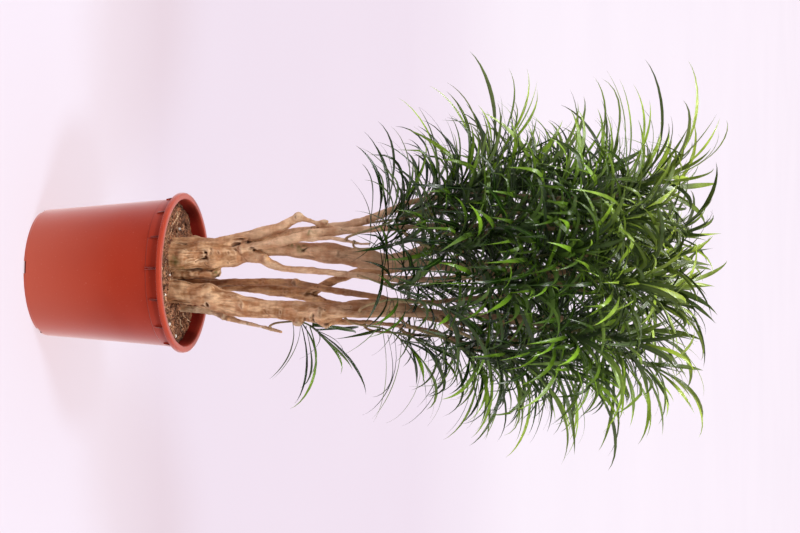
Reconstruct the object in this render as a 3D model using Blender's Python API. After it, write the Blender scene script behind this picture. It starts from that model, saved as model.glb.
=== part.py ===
"""Potted dracaena, about 1.44 m tall: a plastic nursery pot filled with compost, four woody plants that
fork into canes, and leafy shoots of long narrow blades seated on the canes.

Metres, +Z up. The origin is the centre of the pot's underside, and the front is towards -Y.
Tables of points are in millimetres, and MM turns them into metres.
"""

import math
import random

import bmesh
import bpy
from mathutils import Vector, noise
from mathutils.bvhtree import BVHTree

MM = 0.001
GAP = 0.0003

# The pot, a thin moulded shell with an outward lip
POT_HEIGHT = 0.313
RIM_RADIUS = 0.170
WALL_TOP_RADIUS = 0.156
WALL_BASE_RADIUS = 0.134
WALL = 0.0025
FLOOR = 0.003
LIP_DROP = 0.010
LIP_ROUND = 0.003
FOOT_HEIGHT = 0.007
FOOT_STEP = 0.004
BAND_DROP = 0.037
BAND_STEP = 0.0008
POT_SIDES = 30
RIBS = 15
RIB_THICK = 0.0028
RIB_REACH = 0.0065
RIB_DROP = 0.020
RIB_TOE = 0.005
RIB_ROOT = 0.0012
SLOTS = 9
SLOT_WIDTH = 0.026
SLOT_HEIGHT = 0.0055
SLOT_DEPTH = 0.014

# The compost
SOIL_LEVEL = 0.286
SOIL_SWELL = 0.0035
SOIL_GRAIN = 28.0
SOIL_RINGS = (0.90, 0.66, 0.36)
PLUG_BOTTOM = 0.212
PLUG_TOP = 0.298
HOLE_GAP = 0.0005

# The leafy shoots
CORE_SIDES = 4
CORE_RADIUS = 0.0042
CORE_TIP_RADIUS = 0.0030
BUD = 0.006
STUB = 0.009
CORE_STEPS = 10
BEND_START = 0.020
BEND_END_SHARE = 0.45
WHORLS = (0.36, 0.72)
WHORL_HEIGHT = 0.007
SEAT_SPACING = 0.014
SEAT_TRIES = 60
SEAT_DROP = 0.035
SEAT_DROP_STEP = 0.0035
SEAT_PULL = 0.75
SEAT_PULL_STEP = 0.01
SEAT_SWING = math.radians(0.7)
BLADES_WANTED = 9
BLADE_TRIES = 24
CLEARANCE = 0.0011
ROOT_SHARE = 0.04
SEED = 4

# The blades: width, keel, (share of the length, share of the width) of each ring, and for the lower
# whorl, the upper whorl and the bud, degrees of rise at the root and of droop from there to the tip
BLADE_WIDTH = 0.0155
BLADE_KEEL = 0.0019
BLADE_RINGS = ((0.09, 0.42), (0.40, 1.0), (0.72, 0.74))
BLADE_STEPS = 40
LOWER, UPPER, CROWN = range(3)
RISE = (14, 32, 58)
DROOP = (56, 68, 74)

# Each plant: buried plugs (x, y, radius, sides) and branches of (x, y, z, radius), all in millimetres
PLANTS = {
    "stem_left": {
        "plugs": [(-39, 0, 38, 12), (5, 1, 13, 8)],
        "branches": {
            "stump": [(-39, 0, 280, 34), (-39, 0, 302, 37), (-40, 0, 340, 35), (-42, 2, 380, 32),
                      (-44, 4, 418, 27), (-46, 5, 452, 19), (-47, 6, 470, 11)],
            "stump_lump": [(5, 1, 280, 12), (5, 0, 330, 13.5), (3, 0, 372, 12.5), (1, 0, 390, 10)],
            "lump_root": [(-20, 0, 300, 17), (-14, 1, 350, 16), (-18, 3, 382, 10)],
            "gnarled": [(-60, 0, 370, 14), (-68, -3, 410, 13), (-76, -5, 450, 13.5), (-87, -7, 492, 12),
                        (-97, -9, 525, 11), (-108, -11, 546, 10), (-117, -12, 566, 8.5), (-112, -12, 580, 6)],
            "gnarled_hook": [(-115, -12, 572, 6), (-107, -10, 592, 5), (-102, -5, 608, 5.5), (-96, 0, 628, 6)],
            "gnarled_snag": [(-103, -7, 600, 5), (-107, -7, 616, 5), (-108, -7, 628, 3.2)],
            "left": [(-60, 8, 430, 13), (-78, 14, 497, 12), (-87, 11, 565, 10.5), (-92, 4, 622, 10.5),
                     (-99, -1, 670, 10), (-114, -10, 720, 9), (-131, -20, 768, 7.5), (-145, -26, 800, 6.5),
                     (-158, -30, 880, 6), (-160, -32, 980, 5.5), (-155, -30, 1070, 5), (-150, -28, 1150, 4.5)],
            "front_left": [(-50, -12, 440, 12), (-55, -20, 472, 8.5), (-62, -24, 512, 10.5), (-71, -26, 556, 11),
                           (-81, -23, 596, 10), (-86, -17, 640, 9), (-88, -16, 680, 8), (-92, -45, 760, 7),
                           (-96, -85, 860, 6), (-95, -115, 960, 5.5), (-92, -125, 1060, 5)],
            "thin_left": [(-70, -27, 560, 6), (-70, -33, 606, 5), (-73, -36, 640, 4.2), (-66, -40, 676, 3.6),
                          (-60, -46, 706, 3.4), (-60, -52, 730, 3.2)],
            "thick": [(-47, 8, 440, 16), (-51, 14, 492, 13.5), (-51, 16, 530, 16), (-46, 18, 585, 19),
                      (-39, 22, 643, 21), (-29, 25, 700, 20.5), (-21, 29, 752, 17.5), (-18, 28, 800, 13.5),
                      (-14, 20, 865, 10), (-8, 12, 945, 8), (-2, 4, 1035, 6.5), (0, 0, 1135, 5)],
            "back_left": [(-24, 30, 742, 14), (-50, 54, 822, 9), (-80, 84, 925, 7), (-98, 104, 1030, 5.5),
                          (-100, 108, 1110, 5)],
            "right_fork": [(-40, 0, 440, 14), (-30, -9, 485, 12), (-20, -12, 500, 10.5), (-9, -14, 532, 8.5),
                           (-4, -18, 600, 7.5), (3, -22, 672, 7.8), (9, -26, 740, 8), (13, -34, 785, 7.8),
                           (14, -64, 855, 7), (8, -100, 945, 6), (2, -122, 1035, 5.5), (0, -128, 1112, 5)],
            "pruned_knob": [(-26, -13, 486, 9), (-30, -20, 499, 6.5)],
        },
    },
    "stem_right": {
        "plugs": [(41, -22, 26, 10)],
        "branches": {
            "stump": [(41, -22, 280, 24), (42, -22, 305, 25), (44, -21, 340, 25.5), (50, -20, 372, 26),
                      (63, -18, 405, 24), (73, -18, 450, 21.5), (77, -18, 510, 20), (81, -18, 575, 20.5),
                      (85, -18, 612, 24), (83, -17, 645, 21), (80, -14, 662, 13)],
            "thick": [(80, -14, 632, 18), (74, -7, 668, 17), (69, 0, 706, 15.5), (69, 5, 744, 12.5),
                      (72, 9, 785, 9.5), (83, 14, 855, 8), (89, 16, 945, 7), (91, 14, 1040, 6), (92, 10, 1125, 5)],
            "thin_front": [(86, -26, 620, 10), (86, -32, 665, 8.5), (85, -35, 740, 7.6), (86, -38, 826, 6.8),
                           (83, -43, 917, 6), (94, -70, 990, 5.5), (102, -95, 1065, 5)],
            "far_right": [(92, -12, 600, 10), (103, -2, 628, 7.5), (103, 12, 672, 6), (104, 19, 710, 5.8),
                          (112, 28, 790, 5.6), (122, 32, 845, 5.4), (147, 38, 905, 5.2), (166, 35, 985, 5),
                          (170, 30, 1065, 4.6)],
            "knob_upper": [(90, -20, 606, 17), (101, -22, 622, 14.5), (108, -23, 634, 8)],
            "knob_lower": [(90, -20, 574, 11), (105, -22, 563, 6.5)],
            "root_flare": [(60, -14, 300, 7), (54, -16, 340, 10), (52, -18, 372, 12)],
        },
    },
    "stem_middle": {
        "plugs": [(26, 62, 24, 10)],
        "branches": {
            "stump": [(26, 62, 280, 22), (26, 62, 310, 21), (25, 64, 345, 18), (25, 66, 372, 12)],
            "front": [(26, 54, 320, 12), (22, 51, 385, 10.2), (20, 49, 450, 9), (20, 47, 520, 8),
                      (22, 45, 546, 9.2), (27, 43, 575, 8), (39, 40, 638, 7.8), (47, 38, 695, 7.3),
                      (58, 40, 752, 6.2), (62, 56, 832, 5.6), (52, 74, 930, 5), (46, 85, 1020, 4.6)],
            "rear": [(27, 70, 320, 13), (28, 80, 395, 12), (36, 88, 470, 12.5), (44, 95, 540, 13.5),
                     (46, 97, 572, 12)],
            "rear_left": [(46, 96, 548, 11.5), (32, 98, 582, 10.5), (17, 100, 612, 10), (0, 100, 660, 9.2),
                          (-4, 98, 705, 8.2), (-8, 106, 760, 7.2), (-18, 124, 830, 6.5), (-22, 140, 920, 6),
                          (-15, 148, 1010, 5.5), (-10, 148, 1085, 5)],
            "rear_right": [(48, 96, 552, 11), (64, 100, 594, 9), (73, 103, 645, 8), (78, 104, 712, 7.2),
                           (86, 110, 765, 6.8), (100, 123, 830, 6.4), (112, 130, 915, 6), (118, 128, 1005, 5.5),
                           (118, 120, 1085, 5)],
            "front_knob": [(21, 40, 540, 7), (19, 35, 549, 5)],
        },
    },
    "stem_thin": {
        "plugs": [(76, 45, 9, 8)],
        "branches": {
            "cane": [(76, 45, 280, 8), (79, 43, 320, 7.6), (86, 39, 364, 6.8), (95, 36, 393, 7.2),
                     (103, 34, 418, 5.2), (111, 32, 456, 4.8), (119, 30, 490, 4.6), (126, 28, 518, 4.2)],
            "spur": [(95, 36, 390, 5), (99, 27, 398, 3.6)],
        },
    },
}

# Tiers of shoots: height of their heads, count, first azimuth and lean from upright in degrees, length
# of the leafy part and length of its blades
TIERS = (
    (1.335, 4, 70, 7, 0.150, 0.200),
    (1.285, 8, 5, 26, 0.150, 0.225),
    (1.165, 9, 22, 34, 0.145, 0.225),
    (1.050, 9, 3, 38, 0.140, 0.222),
    (0.932, 8, 26, 42, 0.125, 0.215),
    (0.828, 5, 2, 44, 0.100, 0.205),
)
# Distance of the heads from the crown's middle, at these heights
CROWN_PROFILE = ((0.76, 0.110), (0.828, 0.146), (0.932, 0.184), (1.05, 0.204), (1.165, 0.208), (1.30, 0.185),
                 (1.31, 0.075))
CROWN_MIDDLE_X = -0.002
# Shoots outside the tiers: head, azimuth and lean in degrees, leafy length and blade length, and the
# plants that may carry it
ANY_PLANT = tuple(PLANTS)
LONE_SHOOTS = (
    ((-0.228, -0.034, 0.985), 182, 68, 0.110, 0.268, ANY_PLANT),
    ((-0.188, -0.020, 1.318), 176, 30, 0.140, 0.272, ANY_PLANT),
    ((-0.158, -0.060, 0.905), 200, 58, 0.090, 0.255, ANY_PLANT),
    ((0.119, 0.014, 0.592), 8, 52, 0.062, 0.195, ("stem_thin",)),
    ((-0.062, -0.098, 0.792), 250, 48, 0.080, 0.195, ANY_PLANT),
    ((0.038, -0.112, 0.806), 287, 48, 0.080, 0.195, ANY_PLANT),
    ((0.138, -0.022, 0.785), 350, 52, 0.080, 0.205, ANY_PLANT),
)


def clear_scene():
    for old in list(bpy.data.objects):
        bpy.data.objects.remove(old)


def material(name, colour, roughness):
    made = bpy.data.materials.new(name)
    made.use_nodes = True
    shader = made.node_tree.nodes["Principled BSDF"]
    shader.inputs["Base Color"].default_value = (*colour, 1.0)
    shader.inputs["Roughness"].default_value = roughness
    made.diffuse_color = (*colour, 1.0)
    return made


def make_object(name, mesh_builder, finish):
    """A new object from a bmesh, with its normals turned outwards."""
    bmesh.ops.recalc_face_normals(mesh_builder, faces=mesh_builder.faces)
    mesh = bpy.data.meshes.new(name)
    mesh_builder.to_mesh(mesh)
    mesh_builder.free()
    made = bpy.data.objects.new(name, mesh)
    bpy.context.scene.collection.objects.link(made)
    made.data.materials.append(finish)
    return made


def combine(target, tools, operation):
    """One Boolean of a collection of tools on the target, applied, with the tools then removed."""
    group = bpy.data.collections.new(target.name + "_tools")
    bpy.context.scene.collection.children.link(group)
    for tool in tools:
        bpy.context.scene.collection.objects.unlink(tool)
        group.objects.link(tool)
    cut = target.modifiers.new("combine", "BOOLEAN")
    cut.operation = operation
    cut.operand_type = "COLLECTION"
    cut.collection = group
    cut.solver = "EXACT"
    bpy.context.view_layer.objects.active = target
    bpy.ops.object.modifier_apply(modifier=cut.name)
    for tool in tools:
        bpy.data.objects.remove(tool)
    bpy.data.collections.remove(group)


def ring(builder, centre, across, over, outline):
    """A ring of vertices at (a, b) pairs of the outline, along two directions from the centre."""
    return [builder.verts.new(centre + across * a + over * b) for a, b in outline]


def skin(builder, rings):
    """Quads between rings that follow each other."""
    for low, high in zip(rings, rings[1:]):
        for i in range(len(low)):
            j = (i + 1) % len(low)
            builder.faces.new((low[i], low[j], high[j], high[i]))


def circle(radius, sides):
    turns = [math.tau * i / sides for i in range(sides)]
    return [(radius * math.cos(t), radius * math.sin(t)) for t in turns]


def level_direction(turn):
    """The level direction at a turn round Z from +X."""
    return Vector((math.cos(turn), math.sin(turn), 0))


def at_height(z):
    return Vector((0, 0, z))


def turned(name, profile, sides, finish):
    """A solid turned round Z from (radius, height) pairs, with flat ends."""
    builder = bmesh.new()
    across, over = Vector((1, 0, 0)), Vector((0, 1, 0))
    rings = [ring(builder, at_height(z), across, over, circle(r, sides)) for r, z in profile]
    skin(builder, rings)
    builder.faces.new(rings[0])
    builder.faces.new(rings[-1])
    return make_object(name, builder, finish)


def tube(name, points, sides, finish, lobes=0.0):
    """A branch through (x, y, z, radius) points, round or with lobes along it."""
    spots = [Vector(p[:3]) * MM for p in points]
    builder = bmesh.new()
    rings = []
    side = None
    for i, spot in enumerate(spots):
        along = (spots[min(i + 1, len(spots) - 1)] - spots[max(i - 1, 0)]).normalized()
        if side is None:
            side = along.orthogonal().normalized()
        across = (side - along * side.dot(along)).normalized()
        over = along.cross(across)
        side = across
        radius = points[i][3] * MM
        outline = []
        for k in range(sides):
            turn = math.tau * k / sides
            swell = 1 + lobes * (math.sin(3 * turn + 0.9 * i) + 0.6 * math.sin(2 * turn - 0.7 * i))
            outline.append((radius * swell * math.cos(turn), radius * swell * math.sin(turn)))
        rings.append(ring(builder, spot, across, over, outline))
    skin(builder, rings)
    builder.faces.new(rings[0])
    builder.faces.new(rings[-1])
    return make_object(name, builder, finish)


def box(name, size, centre, turn, finish):
    """A box with one edge along the radius at that turn round Z."""
    builder = bmesh.new()
    bmesh.ops.create_cube(builder, size=1.0)
    radial = level_direction(turn)
    sideways = level_direction(turn + math.pi / 2)
    for v in builder.verts:
        flat = radial * v.co.x * size[0] + sideways * v.co.y * size[1]
        v.co = centre + flat + at_height(v.co.z * size[2])
    return make_object(name, builder, finish)


def wall_radius(z):
    """The wall's outer radius at a height."""
    share = (z - FOOT_HEIGHT) / (POT_HEIGHT - LIP_DROP - FOOT_HEIGHT)
    return WALL_BASE_RADIUS + (WALL_TOP_RADIUS - WALL_BASE_RADIUS) * share


def make_rib(turn, finish):
    """A gusset under the lip, from the wall outwards, tapered to its foot."""
    top = POT_HEIGHT - WALL / 2
    foot = POT_HEIGHT - LIP_DROP - RIB_DROP
    outline = (
        (wall_radius(top) - RIB_ROOT, top),
        (wall_radius(top) + RIB_REACH, top),
        (wall_radius(foot) + RIB_REACH * 0.8, foot + RIB_TOE),
        (wall_radius(foot) + RIB_REACH * 0.35, foot),
        (wall_radius(foot) - RIB_ROOT, foot),
    )
    builder = bmesh.new()
    radial = level_direction(turn)
    sideways = level_direction(turn + math.pi / 2)
    half = sideways * RIB_THICK / 2
    sides = [ring(builder, offset, radial, at_height(1), outline) for offset in (-half, half)]
    skin(builder, sides)
    builder.faces.new(sides[0])
    builder.faces.new(sides[1])
    return make_object("rib", builder, finish)


def make_pot(finish):
    """The pot: a turned shell, then its gussets, then the drainage slots at its foot."""
    lip_foot = POT_HEIGHT - LIP_DROP
    band = POT_HEIGHT - BAND_DROP
    inner_top = WALL_TOP_RADIUS - WALL
    profile = (
        (WALL_BASE_RADIUS - FOOT_STEP, 0),
        (WALL_BASE_RADIUS - FOOT_STEP * 0.8, FOOT_HEIGHT * 0.6),
        (WALL_BASE_RADIUS, FOOT_HEIGHT),
        (wall_radius(band), band),
        (wall_radius(band) + BAND_STEP, band + BAND_STEP),
        (WALL_TOP_RADIUS + BAND_STEP, POT_HEIGHT - LIP_ROUND - WALL),
        (RIM_RADIUS - WALL, POT_HEIGHT - LIP_ROUND - WALL),
        (RIM_RADIUS - WALL, lip_foot),
        (RIM_RADIUS, lip_foot),
        (RIM_RADIUS, POT_HEIGHT - LIP_ROUND),
        (RIM_RADIUS - LIP_ROUND, POT_HEIGHT),
        (inner_top + LIP_ROUND, POT_HEIGHT),
        (inner_top, POT_HEIGHT - LIP_ROUND),
        (WALL_BASE_RADIUS - WALL, FOOT_HEIGHT),
        (WALL_BASE_RADIUS - WALL - FOOT_STEP * 0.5, FLOOR),
    )
    pot = turned("pot", profile, POT_SIDES, finish)
    half_side = math.pi / POT_SIDES
    ribs = [make_rib(math.tau * i / RIBS + half_side, finish) for i in range(RIBS)]
    combine(pot, ribs, "UNION")
    slots = []
    for i in range(SLOTS):
        turn = math.tau * i / SLOTS - math.pi / 2
        centre = level_direction(turn) * WALL_BASE_RADIUS
        slots.append(box("slot", (SLOT_DEPTH, SLOT_WIDTH, 2 * SLOT_HEIGHT), centre, turn, finish))
    combine(pot, slots, "DIFFERENCE")
    return pot


def soil_height(x, y):
    """The compost's level, raised by a formula into low heaps."""
    return SOIL_LEVEL + SOIL_SWELL * noise.noise(Vector((x, y, 0)) * SOIL_GRAIN)


def make_soil(finish):
    """The compost: it fills the shell 0.3 mm clear of it, and has a plain hole round each buried plug."""
    inner_foot = WALL_BASE_RADIUS - WALL
    slope = (WALL_TOP_RADIUS - WALL_BASE_RADIUS) / (POT_HEIGHT - LIP_ROUND - FOOT_HEIGHT)
    edge_z = SOIL_LEVEL - SOIL_SWELL
    clear = 2 * GAP
    edge = inner_foot + slope * (edge_z - FOOT_HEIGHT) - clear
    builder = bmesh.new()
    across, over = Vector((1, 0, 0)), Vector((0, 1, 0))
    sides = (
        (inner_foot - FOOT_STEP * 0.5 - clear, FLOOR + GAP),
        (inner_foot - clear, FOOT_HEIGHT + GAP),
        (edge, edge_z),
    )
    rings = [ring(builder, at_height(z), across, over, circle(r, POT_SIDES)) for r, z in sides]
    for share in SOIL_RINGS:
        outline = circle(edge * share, POT_SIDES)
        rings.append([builder.verts.new((x, y, soil_height(x, y))) for x, y in outline])
    skin(builder, rings)
    builder.faces.new(rings[0])
    middle = builder.verts.new((0, 0, soil_height(0, 0)))
    top = rings[-1]
    for i in range(POT_SIDES):
        builder.faces.new((top[i], top[(i + 1) % POT_SIDES], middle))
    soil = make_object("soil", builder, finish)
    for plant in PLANTS.values():
        for x, y, radius, sides in plant["plugs"]:
            wide = radius + HOLE_GAP / MM
            line = [(x, y, (PLUG_BOTTOM - GAP) / MM, wide), (x, y, POT_HEIGHT / MM, wide)]
            combine(soil, [tube("hole", line, sides, finish)], "DIFFERENCE")
    return soil


def make_plant(name, finish):
    """One woody plant: its plugs and branches joined in one solid."""
    plant = PLANTS[name]
    pieces = []
    for x, y, radius, sides in plant["plugs"]:
        line = [(x, y, PLUG_BOTTOM / MM, radius), (x, y, PLUG_TOP / MM, radius)]
        pieces.append(tube(name, line, sides, finish))
    for label, line in plant["branches"].items():
        widest = max(p[3] for p in line)
        sides = 10 if widest > 20 else 8 if widest > 11 else 6
        pieces.append(tube(label, line, sides, finish, 0.05 if widest > 11 else 0.0))
    whole = pieces[0]
    combine(whole, pieces[1:], "UNION")
    whole.name = name
    return whole


def tree_of(obj):
    """A search tree of the object's faces, all of them triangles."""
    builder = bmesh.new()
    builder.from_mesh(obj.data)
    bmesh.ops.triangulate(builder, faces=builder.faces)
    tree = BVHTree.FromBMesh(builder)
    builder.free()
    return tree


def bent_line(start, outward, head, heading):
    """A smooth line from a start, square to the wood, to a head with a heading."""
    reach = (head - start).length
    a, b = start, start + outward * min(BEND_START, reach * 0.30)
    c, d = head - heading * reach * BEND_END_SHARE, head
    shares = [i / CORE_STEPS for i in range(CORE_STEPS + 1)]
    return [a * (1 - t) ** 3 + b * 3 * t * (1 - t) ** 2 + c * 3 * t * t * (1 - t) + d * t**3 for t in shares]


def along_line(line, distance):
    """The point and direction at a distance back from the line's end."""
    for i in range(len(line) - 1, 0, -1):
        step = line[i] - line[i - 1]
        if distance <= step.length or i == 1:
            return line[i] - step.normalized() * distance, step.normalized()
        distance -= step.length
    return line[0], (line[1] - line[0]).normalized()


def blade_line(root, azimuth, rise, droop, sway, length, shares):
    """Points, tangents and width directions of a blade that leaves its root at a rise and bows down."""
    wanted = {round(share * BLADE_STEPS) for share in [*shares, 1]}
    spot = root.copy()
    found = []
    for i in range(BLADE_STEPS + 1):
        share = i / BLADE_STEPS
        pitch = rise - droop * share**1.25
        turn = azimuth + sway * share
        along = level_direction(turn) * math.cos(pitch) + at_height(math.sin(pitch))
        if i in wanted:
            found.append((spot.copy(), along, level_direction(turn + math.pi / 2)))
        spot += along * (length / BLADE_STEPS)
    return found


def blade_rings(root, azimuth, rise, droop, sway, length, ridge, spare=0.0):
    """The blade's three-cornered rings, right margin, left margin and keel, and its tip."""
    line = blade_line(root, azimuth, rise, droop, sway, length, [share for share, _ in BLADE_RINGS])
    rings = []
    for (spot, along, across), (_, width) in zip(line, BLADE_RINGS):
        up = along.cross(across)
        half = BLADE_WIDTH * width / 2 + spare
        keel = up * (BLADE_KEEL + spare) * ridge
        lift = -up * spare * ridge
        rings.append((spot - across * half + lift, spot + across * half + lift, spot + keel))
    return rings, line[-1][0]


def blade_solid(corners, rings, tip):
    """Points and triangles of a blade from its root's corners to its tip."""
    points = [*corners] + [p for r in rings for p in r] + [tip]
    faces = []
    for low in range(0, 3 * len(rings), 3):
        high = low + 3
        for i, j in ((0, 1), (1, 2), (2, 0)):
            faces.append((low + i, low + j, high + j))
            faces.append((low + i, high + j, high + i))
    last = 3 * len(rings)
    for i, j in ((0, 1), (1, 2), (2, 0)):
        faces.append((last + i, last + j, last + 3))
    return points, faces


class Shoot:
    """One leafy shoot: a core seated on the wood, and slots on it where blades grow."""

    def __init__(self, name, seat, normal, line, leafy, blade_length, outward):
        self.name = name
        self.seat = seat
        self.normal = normal
        self.line = line
        self.leafy = leafy
        self.blade_length = blade_length
        self.outward = outward
        self.builder = bmesh.new()
        self.count = 0
        self.slots = []
        self.make_core()

    def core_levels(self):
        """Place, direction and radius of each ring of the core, from the seat to the bud."""
        bend = (self.line[4] - self.line[2]).normalized()
        levels = [
            (self.seat, self.normal, CORE_RADIUS * 0.8),
            (self.line[0], self.normal, CORE_RADIUS),
            (self.line[3], bend, CORE_RADIUS),
        ]
        for share in WHORLS:
            for lift in (0, WHORL_HEIGHT):
                spot, along = along_line(self.line, self.leafy * (1 - share) - lift)
                levels.append((spot, along, CORE_RADIUS))
        levels.append((*along_line(self.line, 0), CORE_TIP_RADIUS))
        return levels

    def make_core(self):
        """Skins the core, and keeps the faces that blades may grow from."""
        rings = []
        side = Vector((1, 0.2, 0))
        for spot, along, radius in self.core_levels():
            across = (side - along * side.dot(along)).normalized()
            side = across
            rings.append(ring(self.builder, spot, across, along.cross(across), circle(radius, CORE_SIDES)))
        self.builder.faces.new(rings[0])
        for k, (low, high) in enumerate(zip(rings, rings[1:])):
            for i in range(CORE_SIDES):
                j = (i + 1) % CORE_SIDES
                self.builder.faces.new((low[i], low[j], high[j]))
                face = self.builder.faces.new((low[i], high[j], high[i]))
                if k in (3, 5):
                    self.slots.append((face, LOWER if k == 3 else UPPER, (high[i], high[j], low[i])))
        bud = self.builder.verts.new(spot + along * BUD)
        for i in range(CORE_SIDES):
            corners = (rings[-1][i], rings[-1][(i + 1) % CORE_SIDES], bud)
            self.slots.append((self.builder.faces.new(corners), CROWN, corners))


def blade_pose(shoot, face, level, draw):
    """Root, azimuth, rise, droop, sway, length and ridge side of a blade on a face, with seeded variation."""
    normal = face.normal.copy()
    flat = Vector((normal.x, normal.y, 0))
    if flat.length < 0.05:
        flat = shoot.outward.copy()
    azimuth = math.atan2(flat.y, flat.x) + draw.uniform(-0.30, 0.30)
    facing = level_direction(azimuth).dot(shoot.outward)
    rise = math.radians(RISE[level] + draw.uniform(-12, 14) - (0 if level == CROWN else 7 * facing))
    droop = math.radians(DROOP[level] + draw.uniform(-16, 18))
    sway = draw.uniform(-0.35, 0.35)
    length = shoot.blade_length * draw.uniform(0.86, 1.06) * (0.86 + 0.14 * max(facing, -0.5))
    ridge = 1 if level == CROWN else -1
    return face.calc_center_median(), azimuth, rise, droop, sway, length, ridge


def boxes_meet(a, b):
    return all(a[0][i] <= b[1][i] and b[0][i] <= a[1][i] for i in range(3))


def bounds(points):
    low = [min(p[i] for p in points) for i in range(3)]
    high = [max(p[i] for p in points) for i in range(3)]
    return low, high


def least_twist(margins, first_ring):
    """The order of a root's corners that turns least on the way to the blade's first ring."""
    middle = sum((v.co for v in margins), Vector()) / 3
    centre = sum(first_ring, Vector()) / 3

    def agreement(order):
        return sum((v.co - middle).normalized().dot((c - centre).normalized()) for v, c in zip(order, first_ring))

    return max((margins[k:] + margins[:k] for k in range(3)), key=agreement)


def crosses_itself(tree, faces):
    """True where two faces that share no corner meet."""
    return any(not set(faces[a]) & set(faces[b]) for a, b in tree.overlap(tree))


def off_the_core(corners, first_ring):
    """Corners a little way out along the blade, clear of those that it shares with its neighbours."""
    return [a.lerp(b, ROOT_SHARE) for a, b in zip(corners, first_ring)]


def try_blade(shoot, slot, draw, others):
    """Grows one blade from a slot if a pose is found that clears everything placed so far."""
    face, level, margins = slot
    shoot.builder.normal_update()
    for _ in range(BLADE_TRIES):
        pose = blade_pose(shoot, face, level, draw)
        rings, tip = blade_rings(*pose)
        wide, far = blade_rings(*pose, spare=CLEARANCE)
        margins = least_twist(margins, rings[0])
        corners = [v.co.copy() for v in margins]
        points, faces = blade_solid(corners, rings, tip)
        blade = BVHTree.FromPolygons(points, faces)
        if crosses_itself(blade, faces):
            continue
        spare_points, spare_faces = blade_solid(corners, wide, far)
        span = bounds(spare_points)
        whole = BVHTree.FromPolygons(spare_points, spare_faces)
        outer = BVHTree.FromPolygons(*blade_solid(off_the_core(corners, wide[0]), wide, far))
        blocked = any(
            boxes_meet(span, other_span) and (outer.overlap(bare) if owner is shoot else whole.overlap(tree))
            for owner, other_span, tree, bare in others
        )
        if not blocked:
            grow(shoot, face, margins, rings, tip)
            bare = BVHTree.FromPolygons(*blade_solid(off_the_core(corners, rings[0]), rings, tip))
            others.append((shoot, bounds(points), blade, bare))
            return


def grow(shoot, face, margins, rings, tip):
    """Opens the face and skins the blade from its corners through the rings to the tip, in triangles."""
    builder = shoot.builder
    builder.faces.remove(face)
    low = list(margins)
    for corners in rings:
        high = [builder.verts.new(c) for c in corners]
        for i in range(3):
            j = (i + 1) % 3
            builder.faces.new((low[i], low[j], high[j]))
            builder.faces.new((low[i], high[j], high[i]))
        low = high
    end = builder.verts.new(tip)
    for i in range(3):
        builder.faces.new((low[i], low[(i + 1) % 3], end))
    shoot.count += 1


def crown_radius(height):
    rows = CROWN_PROFILE
    for (z0, r0), (z1, r1) in zip(rows, rows[1:]):
        if height <= z1:
            share = max(0.0, (height - z0) / (z1 - z0))
            return r0 + (r1 - r0) * share
    return rows[-1][1]


def plan_shoots(draw):
    """Head, azimuth, lean, leafy length, blade length and carrying plants of every shoot."""
    plans = []
    for head, azimuth, lean, leafy, blade, carriers in LONE_SHOOTS:
        plans.append((Vector(head), math.radians(azimuth), math.radians(lean), leafy, blade, carriers))
    for height, count, first, lean, leafy, blade in TIERS:
        for i in range(count):
            azimuth = math.radians(first + 360 * i / count + draw.uniform(-7, 7))
            z = height + draw.uniform(-0.018, 0.018)
            radius = crown_radius(height) + draw.uniform(-0.012, 0.012)
            head = Vector((CROWN_MIDDLE_X, 0, z)) + level_direction(azimuth) * radius
            tilt = math.radians(lean + draw.uniform(-6, 6))
            plans.append((head, azimuth, tilt, leafy, blade, ANY_PLANT))
    return plans


def seat_shoot(name, plan, trees, placed, taken):
    """Seats a shoot square on the nearest wood below its head, clear of the wood and the other cores."""
    head, azimuth, lean, leafy, blade_length, carriers = plan
    outward = level_direction(azimuth)
    heading = at_height(math.cos(lean)) + outward * math.sin(lean)
    from_middle = math.hypot(head.x, head.y)
    for attempt in range(SEAT_TRIES):
        swing = SEAT_SWING * (attempt if attempt % 2 else -attempt)
        query = level_direction(azimuth + swing) * from_middle * (SEAT_PULL - SEAT_PULL_STEP * attempt)
        query.z = head.z - leafy - SEAT_DROP - SEAT_DROP_STEP * attempt
        spot, normal, _, _ = min((trees[key].find_nearest(query) for key in carriers), key=lambda hit: hit[3])
        if normal.z < -0.5 or any((spot - other).length < SEAT_SPACING for other in taken):
            continue
        seat = spot + normal * GAP
        line = bent_line(seat + normal * STUB, normal, head, heading)
        shoot = Shoot(name, seat, normal, line, leafy, blade_length, outward)
        core = BVHTree.FromBMesh(shoot.builder)
        span = bounds([v.co for v in shoot.builder.verts])
        if any(tree.overlap(core) for tree in trees.values()):
            continue
        if any(boxes_meet(span, other) and tree.overlap(core) for _, other, tree, _ in placed):
            continue
        taken.append(spot)
        placed.append((shoot, span, core, core))
        return shoot
    print("no seat found for", name)
    return None


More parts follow.
